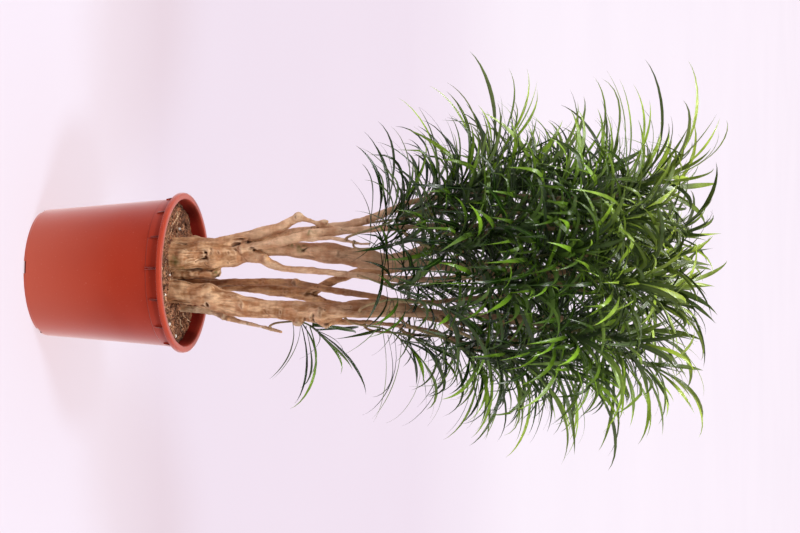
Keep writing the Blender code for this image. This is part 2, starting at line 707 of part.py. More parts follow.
def make_shoots(finish, wood, obstacles):
    """All leafy shoots: the cores first, then the blades, one on every shoot in turn, outermost first."""
    draw = random.Random(SEED)
    trees = {obj.name: tree_of(obj) for obj in wood}
    placed = []
    taken = []
    seated = [
        seat_shoot(f"leafy_shoot_{number:02d}", plan, trees, placed, taken)
        for number, plan in enumerate(plan_shoots(draw), start=1)
    ]
    shoots = [shoot for shoot in seated if shoot]
    for obj in [*wood, *obstacles]:
        tree = tree_of(obj)
        placed.append((None, bounds([v.co for v in obj.data.vertices]), tree, tree))
    late = {LOWER: 0, UPPER: 0, CROWN: 0.25}
    for shoot in shoots:
        shoot.builder.normal_update()
        shoot.slots.sort(key=lambda slot: late[slot[1]] - slot[0].normal.dot(shoot.outward))
    for turn in range(3 * CORE_SIDES):
        for shoot in shoots:
            if shoot.count < BLADES_WANTED:
                try_blade(shoot, shoot.slots[turn], draw, placed)
    for shoot in shoots:
        made = make_object(shoot.name, shoot.builder, finish)
        made.data.shade_smooth()
        made.data.set_sharp_from_angle(angle=math.radians(40))
    print(len(shoots), "shoots,", sum(shoot.count for shoot in shoots), "blades")


def main():
    clear_scene()
    plastic = material("terracotta_plastic", (0.42, 0.075, 0.035), 0.45)
    compost = material("compost", (0.10, 0.055, 0.03), 0.95)
    bark = material("tan_bark", (0.42, 0.27, 0.14), 0.85)
    foliage = material("green_foliage", (0.05, 0.15, 0.025), 0.40)
    pot = make_pot(plastic)
    soil = make_soil(compost)
    wood = [make_plant(name, bark) for name in PLANTS]
    make_shoots(foliage, wood, [pot, soil])
    for obj in [pot, *wood]:
        obj.data.shade_smooth()
        obj.data.set_sharp_from_angle(angle=math.radians(35))


main()
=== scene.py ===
# %% [markdown]
# A potted dracaena
#
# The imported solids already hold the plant's real sizes: a nursery pot full of compost, four old woody
# plants, and fifty leafy shoots with a few plain blades each. This lesson gives every one of them its
# looks. The solids stay where they are, and each new piece is built in the same place and stands for one
# of them.

# %% Load the solids
import math
import random

import bpy
import numpy as np
from mathutils import Matrix, Vector, noise
from mathutils.bvhtree import BVHTree


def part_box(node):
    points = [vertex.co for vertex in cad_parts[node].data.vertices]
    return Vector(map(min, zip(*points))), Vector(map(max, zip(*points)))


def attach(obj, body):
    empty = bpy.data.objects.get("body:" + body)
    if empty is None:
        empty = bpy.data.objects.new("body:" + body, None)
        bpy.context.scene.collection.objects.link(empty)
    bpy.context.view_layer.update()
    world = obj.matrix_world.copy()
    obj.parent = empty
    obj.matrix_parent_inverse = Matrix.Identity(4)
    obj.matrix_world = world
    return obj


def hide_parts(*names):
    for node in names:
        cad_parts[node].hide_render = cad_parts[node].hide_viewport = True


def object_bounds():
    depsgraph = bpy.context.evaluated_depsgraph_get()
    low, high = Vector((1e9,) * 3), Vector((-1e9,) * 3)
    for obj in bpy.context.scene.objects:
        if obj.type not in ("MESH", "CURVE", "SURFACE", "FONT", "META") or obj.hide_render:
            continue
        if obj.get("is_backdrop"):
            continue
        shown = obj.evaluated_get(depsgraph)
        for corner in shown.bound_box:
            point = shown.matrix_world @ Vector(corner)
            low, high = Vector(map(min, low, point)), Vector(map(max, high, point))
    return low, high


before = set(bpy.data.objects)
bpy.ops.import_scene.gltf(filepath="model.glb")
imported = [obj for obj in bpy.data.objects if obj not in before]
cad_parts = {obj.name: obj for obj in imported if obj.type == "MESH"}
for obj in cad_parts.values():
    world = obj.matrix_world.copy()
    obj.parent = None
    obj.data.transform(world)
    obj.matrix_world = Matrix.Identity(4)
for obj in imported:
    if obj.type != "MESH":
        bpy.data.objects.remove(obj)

MM = 0.001
solids_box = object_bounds()
print(len(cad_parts), "solids, from", *[tuple(round(c, 3) for c in corner) for corner in solids_box])

# %% [markdown]
# Small tools used all through the lesson. An operator acts on whatever is selected, and loading leaves the
# solids selected, so `choose` comes before every operator. A finished piece keeps its place in its mesh and
# its object at the origin, rides on the plant's one body, and names the solid that it stands for.


# %% Choose, apply and hand over
def choose(*pieces):
    """Selects these objects only, and makes the last one active."""
    bpy.ops.object.select_all(action="DESELECT")
    for piece in pieces:
        piece.select_set(True)
    bpy.context.view_layer.objects.active = pieces[-1]


def apply_modifier(piece, kind, **settings):
    """Adds a modifier to the piece, sets it up and applies it."""
    choose(piece)
    step = piece.modifiers.new(kind.lower(), kind)
    for key, value in settings.items():
        setattr(step, key, value)
    bpy.ops.object.modifier_apply(modifier=step.name)


def settle(piece):
    """Moves the object's own place and size into its mesh."""
    choose(piece)
    bpy.ops.object.transform_apply(location=True, rotation=True, scale=True)


def join(pieces, name):
    """One object made of all the pieces."""
    choose(*pieces)
    bpy.ops.object.join()
    bpy.context.object.name = name
    return bpy.context.object


def hand_over(piece, finish_slot, *solids):
    """The piece rides on the plant's body and stands for the solids it names; finish_slot is not used."""
    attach(piece, "root")
    if solids:
        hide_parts(*solids)
    piece.data.calc_loop_triangles()
    print(piece.name, len(piece.data.loop_triangles), "triangles")


# %% [markdown]
# Pots, leaves, canes and layers of compost all have a round or flattened section that changes along a line.
# By hand, such a form starts as a filled circle that is extruded and resized, again and again. `draw_out`
# does exactly that, one extrusion for each station of a list.


# %% Draw a form out, station by station
def draw_out(name, sides, stations):
    """A closed solid from a filled circle, extruded to each (height, half width, half depth) in turn."""
    height, wide, deep = stations[0]
    bpy.ops.object.select_all(action="DESELECT")
    bpy.ops.mesh.primitive_circle_add(vertices=sides, radius=1, fill_type="NGON", location=(0, 0, height))
    piece = bpy.context.object
    piece.name = name
    bpy.ops.object.mode_set(mode="EDIT")
    bpy.ops.mesh.select_all(action="SELECT")
    bpy.ops.transform.resize(value=(wide, deep, 1), center_override=(0, 0, height))
    for next_height, next_wide, next_deep in stations[1:]:
        lift = {"value": (0, 0, next_height - height)}
        bpy.ops.mesh.extrude_region_move(TRANSFORM_OT_translate=lift)
        change = (next_wide / wide, next_deep / deep, 1)
        bpy.ops.transform.resize(value=change, center_override=(0, 0, next_height))
        height, wide, deep = next_height, next_wide, next_deep
    bpy.ops.mesh.select_all(action="SELECT")
    bpy.ops.mesh.normals_make_consistent(inside=False)
    bpy.ops.object.mode_set(mode="OBJECT")
    settle(piece)
    return piece


# %% [markdown]
# Materials are node trees. These two helpers keep them short: `add` makes one node, sets its values and
# wires whatever sockets it is given, and `new_group` starts a group with named inputs and outputs. Plastic,
# bark, compost and leaves all share two effects: soft patches, and a fine relief.


# %% Node helpers
def add(tree, kind, inputs=None, **settings):
    """A node with its settings, and with each input set to a value or wired to a socket."""
    made = tree.nodes.new("ShaderNode" + kind)
    for key, value in settings.items():
        setattr(made, key, value)
    for key, value in (inputs or {}).items():
        if isinstance(value, bpy.types.NodeSocket):
            tree.links.new(value, made.inputs[key])
        else:
            made.inputs[key].default_value = value
    return made


def new_group(name, inputs, outputs):
    """An empty node group with its sockets: the tree, the node of its inputs and that of its outputs."""
    tree = bpy.data.node_groups.new(name, "ShaderNodeTree")
    for socket, value in inputs.items():
        kind = "NodeSocketFloat" if isinstance(value, (int, float)) else "NodeSocketVector"
        tree.interface.new_socket(socket, in_out="INPUT", socket_type=kind).default_value = value
    for socket, kind in outputs.items():
        tree.interface.new_socket(socket, in_out="OUTPUT", socket_type=kind)
    return tree, tree.nodes.new("NodeGroupInput"), tree.nodes.new("NodeGroupOutput")


# %% The two shared effects
def make_patches():
    """Soft patches: a mask from 0 to 1, from noise between a low and a high level."""
    inputs = {"Place": (0, 0, 0), "Scale": 20.0, "Detail": 3.0, "Low": 0.4, "High": 0.6}
    tree, start, end = new_group("patches", inputs, {"Mask": "NodeSocketFloat"})
    given = start.outputs
    noise_inputs = {"Vector": given["Place"], "Scale": given["Scale"], "Detail": given["Detail"]}
    cloud = add(tree, "TexNoise", noise_inputs)
    levels = {"Value": cloud.outputs["Fac"], "From Min": given["Low"], "From Max": given["High"]}
    mask = add(tree, "MapRange", levels, interpolation_type="SMOOTHSTEP")
    tree.links.new(mask.outputs["Result"], end.inputs["Mask"])
    return tree


def make_relief():
    """A fine relief: a normal roughened by noise of one scale, with a height in metres."""
    inputs = {"Place": (0, 0, 0), "Scale": 400.0, "Strength": 0.5, "Height": 0.0005}
    tree, start, end = new_group("relief", inputs, {"Normal": "NodeSocketVector"})
    given = start.outputs
    grain = add(tree, "TexNoise", {"Vector": given["Place"], "Scale": given["Scale"], "Detail": 4.0})
    levels = {"Height": grain.outputs["Fac"], "Strength": given["Strength"], "Distance": given["Height"]}
    bump = add(tree, "Bump", levels)
    tree.links.new(bump.outputs["Normal"], end.inputs["Normal"])
    return tree


PATCHES = make_patches()
RELIEF = make_relief()
print("groups:", PATCHES.name, "and", RELIEF.name)


# %% Short forms
def patches(tree, place, scale, low, high, detail=3.0):
    """The mask of the soft patches, from the group's node in a material."""
    inputs = {"Place": place, "Scale": scale, "Detail": detail, "Low": low, "High": high}
    return add(tree, "Group", inputs, node_tree=PATCHES).outputs["Mask"]


def roughened(tree, place, scale, strength, height=0.0005):
    """The normal of the fine relief, from the group's node in a material."""
    inputs = {"Place": place, "Scale": scale, "Strength": strength, "Height": height}
    return add(tree, "Group", inputs, node_tree=RELIEF).outputs["Normal"]


def object_place(tree):
    """Where a point lies on the object, so that a pattern stays on it."""
    return add(tree, "TexCoord").outputs["Object"]


def axis_of(tree, vector, axis):
    """One axis of a vector: X, Y or Z."""
    return add(tree, "SeparateXYZ", {"Vector": vector}).outputs[axis]


def reckon(tree, operation, *values):
    """The result of a Math node, whose values are numbers or sockets."""
    return add(tree, "Math", dict(enumerate(values)), operation=operation).outputs["Value"]


def mix(tree, share, below, above):
    """A colour between two, by a share; each is a socket or an RGB triple."""
    below, above = [c if isinstance(c, bpy.types.NodeSocket) else (*c, 1) for c in (below, above)]
    return add(tree, "Mix", {"Factor": share, 6: below, 7: above}, data_type="RGBA").outputs[2]


def fit(tree, value, low, high, from_low=0.0, from_high=1.0):
    """A value moved from one range to another, clamped."""
    levels = {"Value": value, "From Min": from_low, "From Max": from_high, "To Min": low, "To Max": high}
    return add(tree, "MapRange", levels).outputs["Result"]


def stripe(tree, value, centre, half):
    """A soft band round a value: 1 at the centre, and 0 at half a width away."""
    away = reckon(tree, "ABSOLUTE", reckon(tree, "SUBTRACT", value, centre))
    return fit(tree, away, 1.0, 0.0, 0.0, half)


def new_material(name, **constants):
    """A material with its Principled shader, the constant values set on the shader itself."""
    made = bpy.data.materials.new(name)
    made.use_nodes = True
    shader = made.node_tree.nodes["Principled BSDF"]
    for key, value in constants.items():
        shader.inputs[key.replace("_", " ").title().replace("Ior", "IOR")].default_value = value
    return made, made.node_tree, shader


# %% [markdown]
# The pot is thin moulded polypropylene, slightly glossy. Its colour hardly changes, so the finish comes
# from small things: a faint cloudiness, a painted highlight on the lip, painted light from the bright floor
# near the foot, painted shade on the gussets below the lip and in the corner of the step, a roughness that
# varies, and the bloom that makes such plastic pale at its sides, for which the shader has its sheen. The
# inner wall is darker, painted shade inside the pot, so it has a finish of its own.

# %% The pot's plastic
# Heights that bound the painted floor light near the foot and the painted highlight on the lip.
FLOOR_LIGHT_TOP, LIP_HIGHLIGHT = 0.22, (0.301, 0.312)
GUSSET_RADII, GUSSET_TOP = (0.1597, 0.1625), (0.3005, 0.3025)
STEP_CORNER, STEP_SHADE = 0.2754, 0.0014


def make_plastic(name, sheen, inner=None):
    """The pot's plastic, with painted light and shade; the inner wall has a darker colour, painted shade, and
    no bloom.
    """
    made, tree, shader = new_material(name, sheen_weight=sheen, sheen_roughness=0.40)
    shader.inputs["Sheen Tint"].default_value = (1.0, 0.86, 0.82, 1)
    place = object_place(tree)
    height = axis_of(tree, place, "Z")
    cloud = patches(tree, place, 9.0, 0.3, 0.7)
    flecks = patches(tree, place, 260.0, 0.66, 0.74)
    # The inner wall's darker colour is painted shade inside the pot.
    if inner:
        colour = mix(tree, cloud, inner, tuple(1.25 * c for c in inner))
    else:
        colour = mix(tree, cloud, (0.335, 0.021, 0.002), (0.370, 0.026, 0.004))
        # Paler towards the foot: painted light from the bright floor.
        colour = mix(tree, fit(tree, height, 0.85, 0.0, 0.0, FLOOR_LIGHT_TOP), colour, (0.50, 0.072, 0.026))
    # Paler lip: painted highlight.
    colour = mix(tree, fit(tree, height, 0.0, 0.40, *LIP_HIGHLIGHT), colour, (0.56, 0.10, 0.052))
    flat = add(tree, "Mapping", {"Vector": place, "Scale": (1, 1, 0)}).outputs["Vector"]
    radius = add(tree, "VectorMath", {0: flat}, operation="LENGTH").outputs["Value"]
    # Darker gussets below the lip: painted shade.
    far_out = fit(tree, radius, 0.0, 0.75, *GUSSET_RADII)
    below_lip = fit(tree, height, 1.0, 0.0, *GUSSET_TOP)
    colour = mix(tree, reckon(tree, "MULTIPLY", far_out, below_lip), colour, (0.085, 0.006, 0.003))
    # A dark line in the corner of the step below the panel: painted shade.
    step = stripe(tree, height, STEP_CORNER, STEP_SHADE)
    colour = mix(tree, fit(tree, step, 0.0, 0.60), colour, (0.14, 0.010, 0.004))
    colour = mix(tree, fit(tree, flecks, 0.0, 0.12), colour, (0.75, 0.40, 0.30))
    tree.links.new(colour, shader.inputs["Base Color"])
    tree.links.new(fit(tree, height, 0.42, 0.08, 0.02, 0.20), shader.inputs["Specular IOR Level"])
    tree.links.new(fit(tree, cloud, 0.30, 0.40), shader.inputs["Roughness"])
    relief = roughened(tree, place, 320.0, 0.10)
    tree.links.new(relief, shader.inputs["Normal"])
    return made


PLASTIC = make_plastic("terracotta_plastic", 0.88)
INNER_PLASTIC = make_plastic("shaded_inner_plastic", 0.0, (0.18, 0.013, 0.008))
print(PLASTIC.name, "and", INNER_PLASTIC.name)

# %% [markdown]
# The pot is a thin shell turned round one axis. Its section runs from the middle of the underside out over
# the stepped foot, up the slightly flared wall, out and round the lip, and down inside to the floor. Every
# sharp turn of that section is softened first, because a moulded pot has no sharp edges, and then the whole
# section is drawn out in one go.

# %% The pot's section
POT_SIDES = 144
POT_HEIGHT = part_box("pot")[1].z
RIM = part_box("pot")[1].x
BASE, WALL_TOP, WALL, FLOOR = 0.1355, 0.158, 0.0025, 0.003
FOOT_HEIGHT, FOOT_STEP = 0.005, 0.0012
LIP_DROP, LEDGE_DROP = 0.010, 0.0055
BAND, BAND_STEP = POT_HEIGHT - 0.037, 0.0008


def wall_radius(z):
    """Outer radius of the flared wall at a height."""
    share = (z - FOOT_HEIGHT) / (POT_HEIGHT - LIP_DROP - FOOT_HEIGHT)
    return BASE + (WALL_TOP - BASE) * share


def softened(corners, steps=4):
    """The (radius, height, softness) corners as a smooth outline: each corner becomes a short curve."""
    line = []
    for i, (r, z, soft) in enumerate(corners):
        spot = Vector((r, z))
        if not soft or i in (0, len(corners) - 1):
            line.append(spot)
            continue
        before = spot + (Vector(corners[i - 1][:2]) - spot).normalized() * soft
        after = spot + (Vector(corners[i + 1][:2]) - spot).normalized() * soft
        for k in range(steps + 1):
            t = k / steps
            line.append(before * (1 - t) ** 2 + spot * 2 * t * (1 - t) + after * t * t)
    return line


POT_CORNERS = (
    (BASE - FOOT_STEP - 0.002, 0, 0),
    (BASE - FOOT_STEP, 0, 0.0008),
    (BASE - FOOT_STEP * 0.8, FOOT_HEIGHT * 0.6, 0.0012),
    (BASE, FOOT_HEIGHT, 0.0015),
    (wall_radius(BAND), BAND, 0.0003),
    (wall_radius(BAND) + BAND_STEP, BAND + BAND_STEP, 0.0003),
    (WALL_TOP + BAND_STEP, POT_HEIGHT - LEDGE_DROP, 0.0015),
    (RIM - WALL, POT_HEIGHT - LEDGE_DROP, 0.0015),
    (RIM - WALL, POT_HEIGHT - LIP_DROP, 0.0008),
    (RIM, POT_HEIGHT - LIP_DROP, 0.0012),
    (RIM, POT_HEIGHT, 0.0045),
    (WALL_TOP - WALL, POT_HEIGHT, 0.0035),
    (BASE - WALL, FOOT_HEIGHT, 0.003),
    (BASE - WALL - FOOT_STEP / 2, FLOOR, 0),
)
pot = draw_out("nursery_pot", POT_SIDES, [(p.y, p.x, p.x) for p in softened(POT_CORNERS)])
print("pot shell:", len(pot.data.polygons), "faces")

# %% [markdown]
# Under the lip stand fifteen thin gussets. One is modelled from a cube, narrowed at its foot, and copied
# round, and a Boolean adds them all to the shell. A few tools come first, because blocks, copies round the
# axis and Booleans are used again.


# %% Blocks, copies and Booleans
def block(name, size, centre):
    """A cube primitive of the size given, along X, Y and Z."""
    bpy.ops.object.select_all(action="DESELECT")
    bpy.ops.mesh.primitive_cube_add(size=1, location=centre)
    piece = bpy.context.object
    piece.name = name
    piece.scale = size
    settle(piece)
    return piece


def copied_round(first, count, start):
    """Copies of the first piece, each with its own mesh, turned round Z, and joined."""
    copies = []
    for i in range(count):
        mesh = first.data.copy()
        mesh.transform(Matrix.Rotation(start + math.tau * i / count, 4, "Z"))
        copies.append(bpy.data.objects.new(first.name, mesh))
        bpy.context.scene.collection.objects.link(copies[-1])
    bpy.data.objects.remove(first)
    return join(copies, copies[0].name)


def boolean(piece, other, operation, solver="EXACT"):
    """Adds or cuts the other object, which is then removed."""
    apply_modifier(piece, "BOOLEAN", object=other, operation=operation, solver=solver)
    bpy.data.objects.remove(other)


# %% The gussets
RIBS, RIB_THICK, RIB_REACH, RIB_DROP = 15, 0.0032, 0.0084, 0.020
RIB_TURN = math.radians(-90 - 3.6)
RIB_HIDDEN = 0.002
RIB_ROOT_IN, RIB_TAPER = 0.6, 0.45

rib_height = RIB_DROP + LIP_DROP - RIB_HIDDEN
rib_middle = POT_HEIGHT - RIB_HIDDEN - rib_height / 2
rib_size = (RIB_REACH + RIB_HIDDEN, RIB_THICK, rib_height)
rib = block("gusset", rib_size, (WALL_TOP + RIB_REACH / 2 - RIB_HIDDEN / 2, 0, rib_middle))
for v in rib.data.vertices:
    if v.co.z < rib_middle:
        v.co.x += (wall_radius(v.co.z) - WALL_TOP) * (RIB_ROOT_IN if v.co.x < WALL_TOP else 1.0)
        v.co.x -= RIB_REACH * RIB_TAPER if v.co.x > WALL_TOP else 0
apply_modifier(rib, "BEVEL", width=0.0004, segments=2)
boolean(pot, copied_round(rib, RIBS, RIB_TURN), "UNION")
print("pot with its gussets:", len(pot.data.polygons), "faces")

# %% [markdown]
# The front has a shallow raised panel below the lip, with a double seam down its middle. The panel is a
# thin upright quad that is spun round the pot's axis, so that it follows the wall.

# %% The raised panel and its seams
PANEL_START, PANEL_SWEEP, PANEL_DROP, PANEL_RISE = math.radians(-90 - 27.5), math.radians(48), 0.0275, 0.0014
SEAM_TURNS = (math.radians(-90 - 4.4), math.radians(-90 - 2.8))
SEAM_SIZE = (PANEL_RISE + 0.0030, 0.0009, PANEL_DROP)


def spun_panel():
    """A thin curved plate on the wall below the lip."""
    top, foot = POT_HEIGHT - LIP_DROP + 0.002, POT_HEIGHT - LIP_DROP - PANEL_DROP
    bpy.ops.object.select_all(action="DESELECT")
    bpy.ops.mesh.primitive_plane_add(size=1, location=(0, 0, (top + foot) / 2), rotation=(math.pi / 2, 0, 0))
    panel = bpy.context.object
    panel.scale = (PANEL_RISE + 0.001, top - foot, 1)
    settle(panel)
    for v in panel.data.vertices:
        v.co.x += wall_radius(v.co.z) + (PANEL_RISE - 0.001) / 2
    panel.data.transform(Matrix.Rotation(PANEL_START, 4, "Z"))
    bpy.ops.object.mode_set(mode="EDIT")
    bpy.ops.mesh.select_all(action="SELECT")
    bpy.ops.mesh.spin(steps=20, angle=PANEL_SWEEP, center=(0, 0, 0), axis=(0, 0, 1))
    bpy.ops.mesh.select_all(action="SELECT")
    bpy.ops.mesh.normals_make_consistent(inside=False)
    bpy.ops.object.mode_set(mode="OBJECT")
    return panel


boolean(pot, spun_panel(), "UNION")
for turn in SEAM_TURNS:
    seam_middle = POT_HEIGHT - LIP_DROP - PANEL_DROP / 2
    seam = block("seam", SEAM_SIZE, (wall_radius(rib_middle) + PANEL_RISE, 0, seam_middle))
    seam.data.transform(Matrix.Rotation(turn, 4, "Z"))
    boolean(pot, seam, "UNION")
print("with its panel and seams:", len(pot.data.polygons), "faces")

# %% [markdown]
# The foot's corner is broken by drainage slots, which are plain boxes copied round and cut out. The exact
# solver adds the gussets, the panel and the seams cleanly, but it loses the shell when it cuts the slots, so
# the manifold solver cuts those. Then the faces of the inner wall take the damp plastic.

# %% The drainage slots, and a plastic for each side of the wall
SLOTS, SLOT_SIZE, SLOT_TURN = 5, (0.014, 0.026, 0.011), math.radians(-90 - 5.1)

slot = block("drain_slot", SLOT_SIZE, (BASE, 0, 0))
boolean(pot, copied_round(slot, SLOTS, SLOT_TURN), "DIFFERENCE", solver="MANIFOLD")
print("and with its slots:", len(pot.data.polygons), "faces")
choose(pot)
bpy.ops.object.shade_smooth_by_angle(angle=math.radians(38))
pot.data.materials.clear()
for plastic in (PLASTIC, INNER_PLASTIC):
    pot.data.materials.append(plastic)
for face in pot.data.polygons:
    inner_wall = math.hypot(face.center.x, face.center.y) < wall_radius(face.center.z) - WALL / 2
    face.material_index = int(inner_wall and FLOOR / 2 < face.center.z < POT_HEIGHT - 0.0005)
hand_over(pot, "pot", "pot")

# %% [markdown]
# Potting compost is a brown, crumbly mix. Three things make it: an uneven surface, a colour that changes
# from crumb to crumb, and loose bits on top. The surface is a filled circle drawn inwards in many narrow
# rings, so that there are points enough to raise and lower.


# %% The compost's finish
def make_compost():
    """Dark and light clods, with paler bits among them and a coarse relief."""
    made, tree, shader = new_material("potting_compost", roughness=0.92, specular_ior_level=0.25)
    place = object_place(tree)
    clods = patches(tree, place, 70.0, 0.35, 0.68, 5.0)
    bits = patches(tree, place, 420.0, 0.56, 0.66, 2.0)
    colour = mix(tree, clods, (0.050, 0.016, 0.007), (0.30, 0.110, 0.048))
    colour = mix(tree, fit(tree, bits, 0.0, 0.80), colour, (0.55, 0.28, 0.14))
    tree.links.new(colour, shader.inputs["Base Color"])
    relief = roughened(tree, place, 380.0, 1.0, 0.002)
    tree.links.new(relief, shader.inputs["Normal"])
    return made


COMPOST = make_compost()
print(COMPOST.name)

# %% The compost
SOIL_LEVEL = 0.286
SOIL_FOOT, SOIL_EDGE = 0.1285, wall_radius(SOIL_LEVEL) - WALL + 0.0006
SOIL_RING = 0.0028


def soil_height(x, y):
    """The uneven level: low heaps, and crumbs on them."""
    heaps = noise.noise(Vector((x, y, 0)) * 28) * 0.0042
    clods = noise.noise(Vector((x, y, 0.3)) * 95) * 0.0030
    crumbs = noise.noise(Vector((x, y, 0.7)) * 300) * 0.0022
    return SOIL_LEVEL + heaps + clods + crumbs


inward = [SOIL_EDGE - SOIL_RING * i for i in range(int(SOIL_EDGE / SOIL_RING))]
stations = [(FLOOR + 0.0003, SOIL_FOOT, SOIL_FOOT)]
stations += [(SOIL_LEVEL - 0.012, SOIL_EDGE - 0.001, SOIL_EDGE - 0.001)]
stations += [(SOIL_LEVEL, r, r) for r in inward]
soil = draw_out("potting_compost", 160, stations)
for v in soil.data.vertices:
    if v.co.z > SOIL_LEVEL - 0.001:
        v.co.z = soil_height(v.co.x, v.co.y)
soil.data.shade_smooth()
soil.data.materials.append(COMPOST)
hand_over(soil, "soil", "soil")

# %% [markdown]
# Crumbs, chips, fibres and leaves are each modelled once and then used hundreds of times. `Pattern` keeps
# the points and faces of such a model, and `pour` lays many moved or bent copies into one mesh. Each point
# also carries four marks, from 0 to 1, that the materials read: on a leaf they are its tone, the way along
# it, the way across it, and whether the point is on the underside.


# %% One model, many copies
class Pattern:
    """The points and faces of a model, kept as arrays; the object it was read from is removed."""

    def __init__(self, piece):
        mesh = piece.data
        self.points = np.array([v.co for v in mesh.vertices])
        self.corners = np.array([loop.vertex_index for loop in mesh.loops])
        self.sizes = np.array([len(face.vertices) for face in mesh.polygons])
        bpy.data.objects.remove(piece)


def pour(name, copies, materials):
    """One object of many copies, each a (pattern, points, marks, material number)."""
    firsts = np.cumsum([0] + [len(points) for _, points, _, _ in copies])
    corners = np.concatenate([pattern.corners + first for (pattern, *_), first in zip(copies, firsts)])
    sizes = np.concatenate([pattern.sizes for pattern, *_ in copies])
    mesh = bpy.data.meshes.new(name)
    mesh.vertices.add(int(firsts[-1]))
    mesh.vertices.foreach_set("co", np.concatenate([points for _, points, _, _ in copies]).ravel())
    mesh.loops.add(len(corners))
    mesh.loops.foreach_set("vertex_index", corners)
    mesh.polygons.add(len(sizes))
    mesh.polygons.foreach_set("loop_start", np.concatenate([[0], np.cumsum(sizes)[:-1]]))
    for material in materials:
        mesh.materials.append(material)
    numbers = np.concatenate([np.full(len(pattern.sizes), number) for pattern, _, _, number in copies])
    mesh.polygons.foreach_set("material_index", numbers)
    mesh.update(calc_edges=True)
    marks = mesh.color_attributes.new("marks", "FLOAT_COLOR", "POINT")
    marks.data.foreach_set("color", np.concatenate([values for _, _, values, _ in copies]).ravel())
    mesh.shade_smooth()
    piece = bpy.data.objects.new(name, mesh)
    bpy.context.scene.collection.objects.link(piece)
    return piece


def marks_of(tree):
    """The four marks of a point, as sockets: red, green, blue and alpha."""
    stored = add(tree, "Attribute", attribute_name="marks", attribute_type="GEOMETRY")
    parts = add(tree, "SeparateColor", {"Color": stored.outputs["Color"]})
    return [parts.outputs["Red"], parts.outputs["Green"], parts.outputs["Blue"], stored.outputs["Alpha"]]


# %% [markdown]
# Loose bits lie on the compost: crumbs, flat chips of bark, straw-coloured root fibres and a few white
# grains of perlite. Each kind starts as a primitive, is knocked out of shape, and is scattered with a
# seeded draw, clear of the stems. Four small materials tell them apart.


# %% Finishes of the loose bits
def plain_finish(name, dark, light, roughness, scale=300.0):
    """A rough natural finish between two colours, whose tone also changes from copy to copy."""
    made, tree, shader = new_material(name, roughness=roughness, specular_ior_level=0.3)
    place = object_place(tree)
    tone = marks_of(tree)[0]
    blotch = patches(tree, place, scale, 0.35, 0.65)
    share = reckon(tree, "MULTIPLY", blotch, tone)
    tree.links.new(mix(tree, share, dark, light), shader.inputs["Base Color"])
    relief = roughened(tree, place, 600.0, 0.6)
    tree.links.new(relief, shader.inputs["Normal"])
    return made


CRUMB = plain_finish("compost_crumb", (0.065, 0.021, 0.009), (0.36, 0.145, 0.065), 0.95)
CHIP = plain_finish("bark_chip", (0.15, 0.050, 0.021), (0.70, 0.35, 0.18), 0.85)
FIBRE = plain_finish("root_fibre", (0.34, 0.17, 0.085), (0.84, 0.60, 0.38), 0.8)
PERLITE = plain_finish("perlite", (0.72, 0.66, 0.58), (0.97, 0.93, 0.86), 0.9)
print(CRUMB.name, CHIP.name, FIBRE.name, PERLITE.name)

# %% Models of the loose bits
draw = random.Random(11)


def knocked(piece, amount):
    """Moves each point a little at random, so that no primitive is left showing."""
    for v in piece.data.vertices:
        v.co += Vector([draw.uniform(-amount, amount) for _ in range(3)])
    return Pattern(piece)


bpy.ops.object.select_all(action="DESELECT")
bpy.ops.mesh.primitive_ico_sphere_add(subdivisions=1, radius=1)
CRUMB_MODEL = knocked(bpy.context.object, 0.35)
CHIP_MODEL = knocked(block("chip", (2.4, 1.2, 0.28), (0, 0, 0)), 0.12)
FIBRE_STATIONS = [(k / 10, 1.0 - 0.6 * k / 10, 0.8 - 0.4 * k / 10) for k in range(11)]
FIBRE_MODEL = Pattern(draw_out("fibre", 5, FIBRE_STATIONS))
print("points:", *(len(model.points) for model in (CRUMB_MODEL, CHIP_MODEL, FIBRE_MODEL)))

# %% Scatter them on the compost
WOOD = ("stem_left", "stem_right", "stem_middle", "stem_thin")


def tree_of(names):
    """One search tree of several solids' faces."""
    points, faces = [], []
    for name in names:
        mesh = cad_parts[name].data
        faces += [[i + len(points) for i in face.vertices] for face in mesh.polygons]
        points += [v.co for v in mesh.vertices]
    return BVHTree.FromPolygons(points, faces)


WOOD_TREE = tree_of(WOOD)


def open_spot(reach, clear):
    """A seeded spot on the compost, that far from the stems."""
    while True:
        turn, r = draw.uniform(0, math.tau), reach * math.sqrt(draw.random())
        x, y = r * math.cos(turn), r * math.sin(turn)
        if WOOD_TREE.find_nearest(Vector((x, y, SOIL_LEVEL + 0.006)))[3] > clear:
            return Vector((x, y, soil_height(x, y)))


def even_marks(pattern, tone):
    """Marks that are the same at each point of a copy: its tone, and nothing else."""
    return np.tile((tone, 0.0, 0.0, 1.0), (len(pattern.points), 1))


def scatter(name, pattern, finish, count, sizes, flat, sink):
    """Copies of a bit, each of a drawn size, tilted up to `flat` radians and sunk by a share of its size."""
    copies = []
    for _ in range(count):
        size = draw.uniform(*sizes)
        spot = open_spot(SOIL_EDGE - 0.004 - size, size)
        spot.z -= size * sink
        lean = Matrix.Rotation(draw.uniform(-flat, flat), 3, "X")
        tilt = lean @ Matrix.Rotation(draw.uniform(-flat, flat), 3, "Y")
        turn = np.array(Matrix.Rotation(draw.uniform(0, math.tau), 3, "Z") @ tilt)
        points = pattern.points @ turn.T * size + np.array(spot)
        copies.append((pattern, points, even_marks(pattern, draw.random()), 0))
    hand_over(pour(name, copies, [finish]), "soil")


